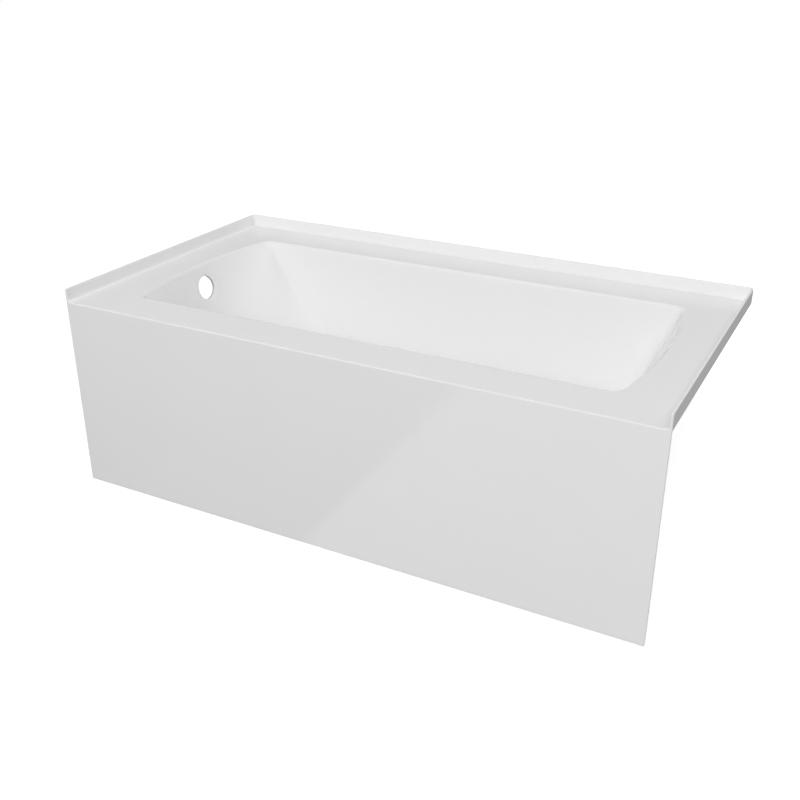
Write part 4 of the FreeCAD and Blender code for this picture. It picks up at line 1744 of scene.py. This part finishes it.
@dataclass
class Foot:
    """One levelling foot: a threaded stud with a hexagon, snapped into a round nylon pad."""

    finishes: Finishes
    side: str
    end: str
    thread_radius: float = 0.005
    thread_depth: float = 0.0009
    pitch: float = 0.0015
    collar_radius: float = 0.0095
    collar_low: float = 0.0127
    collar_high: float = 0.0207
    ball_radius: float = 0.0065
    ball_middle: float = 0.003
    neck_radius: float = 0.0042
    washer_radius: float = 0.0082
    washer_thickness: float = 0.0004
    overlap: float = 0.001
    pad_radius: float = 0.024
    cone_radii: tuple[float, float] = (0.0143, 0.021)
    cone_heights: tuple[float, float] = (0.005, 0.011)
    ribs: int = 12
    rib_sink: float = 0.0011
    rib_drop: float = 0.0007
    pad_sharp_angle: float = math.radians(28)

    @property
    def tag(self) -> str:
        """The end of this foot's names."""
        return "%s_%s" % (self.side, self.end)

    def make_stud(self, place: Vector, low: float, high: float) -> bpy.types.Object:
        """The steel stud.

        Args:
            place: the middle of its box.
            low: the height of its foot.
            high: the height of its top.

        Returns:
            The object.
        """
        ball = [(0.0, 0.0), (0.0048, 0.0), (0.0062, 0.0014),
                (self.ball_radius, self.ball_middle), (0.0062, 0.0046), (0.0048, 0.006),
                (0.0, 0.006)]
        cap = [(0.0, -0.0016), (0.0041, -0.0016), (0.0041, -0.0009), (0.0032, 0.0), (0.0, 0.0)]
        shapes = [lathe([(r, low + z) for r, z in ball], 32),
                  rod(self.neck_radius, low + self.ball_middle, self.collar_low + self.overlap, 24),
                  thread(self.thread_radius, self.thread_depth, self.pitch,
                         self.collar_high - self.overlap, high - self.overlap),
                  lathe([(r, high + z) for r, z in cap], 24),
                  rod(self.washer_radius, self.collar_high - self.washer_thickness,
                      self.collar_high),
                  hexagon(self.collar_radius, self.collar_low, self.collar_high)]
        return link("stud_" + self.tag, move(join(shapes), place.x, place.y))

    def make_pad(self, place: Vector) -> bpy.types.Object:
        """The nylon pad: ribbed on its cone, ringed underneath and open for the stud's end.

        Args:
            place: the middle of the stud's box.

        Returns:
            The object.
        """
        r = self.pad_radius
        profile = [(0.0, 0.0012), (0.006, 0.0012), (0.0066, 0.0), (0.0106, 0.0), (0.0112, 0.0012),
                   (0.0132, 0.0012), (0.0138, 0.0), (0.0178, 0.0), (0.0184, 0.0012),
                   (0.0204, 0.0012), (0.021, 0.0), (r - 0.0009, 0.0), (r - 0.0002, 0.0004),
                   (r, 0.0011), (r, 0.0032), (r - 0.0003, 0.0038), (r - 0.001, 0.0041),
                   (0.0205, 0.0056), (0.0172, 0.0083), (0.0148, 0.0105), (0.0138, 0.0114),
                   (0.0132, 0.0119), (0.0126, 0.012), (0.0064, 0.012), (0.0056, 0.0116),
                   (0.0053, 0.0111), (0.0053, 0.0104), (0.0066, 0.0103), (0.0066, 0.004),
                   (0.0, 0.004)]

        def wave(radius: float, height: float, angle: float) -> tuple[float, float]:
            """Sink the cone between its ribs.

            Args:
                radius: the point's radius.
                height: its height.
                angle: its angle.

            Returns:
                The new radius and height.
            """
            inner, outer = self.cone_radii
            bottom, top = self.cone_heights
            if not (inner < radius < outer and bottom < height < top):
                return radius, height
            dip = max(0.0, math.cos(self.ribs * angle)) ** 0.5
            return radius - self.rib_sink * dip, height - self.rib_drop * dip

        shape = move(lathe(profile, 96, wave), place.x, place.y)
        return link("pad_" + self.tag, shape, self.pad_sharp_angle)

    def make(self) -> None:
        """Build the foot's two pieces."""
        body, node = "foot_" + self.tag, "foot_stud_" + self.tag
        box = node_box(node)
        stud = self.make_stud(box.middle, box.low.z, box.high.z)
        seat(stud, body, Slot.ZINC, node, material=self.finishes.zinc)
        seat(self.make_pad(box.middle), body, Slot.FOOT, "foot_pad_" + self.tag,
             material=self.finishes.nylon)


# ---------------------------------------------------------------- camera, light and floor
@dataclass
class Studio:
    """The camera of the photograph, a pale floor and soft light."""

    eye: Place = (1.0926, -2.1293, 1.3658)
    yaw: float = math.radians(27.758)
    pitch: float = math.radians(25.334)
    lens: float = 45.263
    sensor: float = 36.0
    sky: float = 0.15
    sky_in_gloss: float = 0.6
    floor_reach: float = 14.0
    floor_gap: float = 0.0004
    floor_tones: tuple[float, float] = (0.84, 0.86)
    floor_bounce: Colour = (0.35, 0.35, 0.35)
    glow: float = 0.62
    glow_near: float = 2.0
    glow_far: float = 5.0
    # Painted reflection: a strip of the floor that glows only in mirror reflections, though it is
    # no lamp. These set its strength, edges, slant and blur.
    painted_reflection_glow: float = 0.8
    painted_reflection_back: float = -0.40
    painted_reflection_edge: float = -0.0654
    painted_reflection_lean: float = 0.0459
    painted_reflection_blur: float = 0.012
    reach: float = 10.0
    aim_height: float = 0.4
    lamp_size: float = 5.6
    lamps: tuple[tuple[str, float, float, float], ...] = (
        ("front_lamp", 6.0, 38.0, 680.0), ("upper_left_lamp", -60.0, 38.0, 70.0),
        ("left_lamp", -90.0, 12.0, 170.0), ("right_lamp", 90.0, 12.0, 150.0),
        ("back_lamp", 135.0, 45.0, 240.0))

    def make_camera(self) -> None:
        """Put the camera where the photograph was taken from."""
        data = bpy.data.cameras.new("photo_camera")
        data.sensor_width = self.sensor
        data.lens = self.lens
        camera = add_object("photo_camera", data)
        camera.location = self.eye
        camera.rotation_euler = (math.pi / 2 - self.pitch, 0.0, self.yaw)
        bpy.context.scene.camera = camera

    def floor_seen(self, graph: Graph, where: Socket) -> Socket:
        """The floor that the camera sees: a tub's soft shadow on white.

        Args:
            graph: the floor's graph.
            where: its coordinates.

        Returns:
            The shader.
        """
        tone = graph.remap(graph.noise(where, 3.0, 4.0), 0.3, 0.7, *self.floor_tones)
        matt = graph.add("ShaderNodeBsdfDiffuse", {"Color": graph.unite(tone, tone, tone)})
        away = graph.add("ShaderNodeVectorMath", {0: where}, operation="LENGTH").outputs["Value"]
        level = graph.remap(away, self.glow_near, self.glow_far, self.glow, 1.0)
        glow = graph.add("ShaderNodeEmission", {"Color": WHITE_LIGHT, "Strength": level})
        return graph.add("ShaderNodeAddShader", {0: matt.outputs[0],
                                                 1: glow.outputs[0]}).outputs[0]

    def floor_reflected(self, graph: Graph, where: Socket, glossy: Socket) -> Socket:
        """The darker floor that the tub sees, with a painted reflection: a glowing strip that only
        mirror reflections see.

        Args:
            graph: the floor's graph.
            where: its coordinates.
            glossy: whether a mirror reflection sees it.

        Returns:
            The shader.
        """
        bounce = graph.add("ShaderNodeBsdfDiffuse", {"Color": self.floor_bounce}).outputs[0]
        # Painted reflection: this glowing strip is seen only by mirror reflections, and lays a
        # bright band on the apron.
        spot = graph.split(where)
        lean = graph.math("MULTIPLY", spot[1], self.painted_reflection_lean)
        edge = graph.math("SUBTRACT", graph.math("SUBTRACT", spot[0], lean), self.painted_reflection_edge)
        beside = graph.remap(edge, -self.painted_reflection_blur, self.painted_reflection_blur, 0.0, self.painted_reflection_glow)
        before = graph.remap(spot[1], self.painted_reflection_back, self.painted_reflection_back + self.painted_reflection_blur, 1.0, 0.0)
        strength = graph.math("MULTIPLY", beside, before)
        sheet = graph.add("ShaderNodeEmission", {"Color": WHITE_LIGHT, "Strength": strength})
        mirrored = graph.add("ShaderNodeAddShader", {0: bounce, 1: sheet.outputs[0]})
        return graph.choose(glossy, bounce, mirrored.outputs[0])

    def make_floor(self) -> None:
        """Lay the pale floor: white to the camera, with the tub's shadow, and clear from below."""
        material = bpy.data.materials.new("studio_floor")
        material.use_nodes = True
        graph = Graph(material.node_tree)
        where = graph.add("ShaderNodeTexCoord").outputs["Object"]
        path = graph.add("ShaderNodeLightPath").outputs
        seen = graph.math("MAXIMUM", path["Is Camera Ray"], path["Is Transmission Ray"])
        above = graph.choose(seen, self.floor_reflected(graph, where, path["Is Glossy Ray"]),
                             self.floor_seen(graph, where))
        below = graph.add("ShaderNodeNewGeometry").outputs["Backfacing"]
        clear = graph.add("ShaderNodeBsdfTransparent").outputs[0]
        output = graph.add("ShaderNodeOutputMaterial")
        graph.put(output.inputs["Surface"], graph.choose(below, above, clear))
        mesh = bpy.data.meshes.new("floor")
        corners = [(x * self.floor_reach, y * self.floor_reach, -self.floor_gap)
                   for x, y in ((-1, -1), (1, -1), (1, 1), (-1, 1))]
        mesh.from_pydata(corners, [], [(0, 1, 2, 3)])
        mesh.materials.append(material)
        add_object("floor", mesh)

    def make_sky(self) -> None:
        """Light the tub from all round, and show white behind it."""
        world = bpy.data.worlds.new("studio_sky")
        bpy.context.scene.world = world
        world.use_nodes = True
        graph = Graph(world.node_tree)
        light, white = (graph.add("ShaderNodeBackground",
                                  {"Color": WHITE_LIGHT, "Strength": strength}).outputs[0]
                        for strength in (self.sky, 1.0))
        path = graph.add("ShaderNodeLightPath").outputs
        seen = graph.math("MAXIMUM", path["Is Camera Ray"], path["Is Transmission Ray"])
        mirrored = graph.math("MULTIPLY", path["Is Glossy Ray"], self.sky_in_gloss)
        share = graph.math("MAXIMUM", seen, mirrored)
        output = graph.add("ShaderNodeOutputWorld")
        graph.put(output.inputs["Surface"], graph.choose(share, light, white))

    def make_lamp(self, name: str, bearing: float, height: float, power: float) -> None:
        """Hang one square soft lamp that faces the tub.

        Args:
            name: the lamp's name.
            bearing: the degrees that it stands to the right of straight in front.
            height: the degrees that it stands above the deck.
            power: its power in watts.
        """
        data = bpy.data.lights.new(name, "AREA")
        data.shape = "SQUARE"
        data.size = self.lamp_size
        data.energy = power
        lamp = add_object(name, data)
        turn, lift = math.radians(bearing), math.radians(height)
        out = Vector((math.sin(turn) * math.cos(lift), -math.cos(turn) * math.cos(lift),
                      math.sin(lift)))
        lamp.location = UP * self.aim_height + out * self.reach
        lamp.rotation_mode = "QUATERNION"
        lamp.rotation_quaternion = (-out).to_track_quat("-Z", "Y")
        lamp.visible_glossy = False

    def make(self) -> None:
        """Set up the whole studio."""
        bpy.context.scene.view_settings.view_transform = "Standard"
        self.make_camera()
        self.make_floor()
        self.make_sky()
        for name, bearing, height, power in self.lamps:
            self.make_lamp(name, bearing, height, power)


def main() -> None:
    """Build and dress every piece."""
    Studio().make()
    finishes = Finishes(Effects())
    patterns = Patterns()
    Skin(finishes).make()
    Backing(finishes, patterns).make()
    Framing(finishes).make()
    Steelwork(finishes, patterns).make()
    Screws(finishes, patterns).make()
    for side in SIDES:
        for end in ENDS:
            Foot(finishes, side, end).make()
    log.info("sizes written")


if __name__ == "__main__":
    logging.basicConfig(level=logging.INFO)
    main()
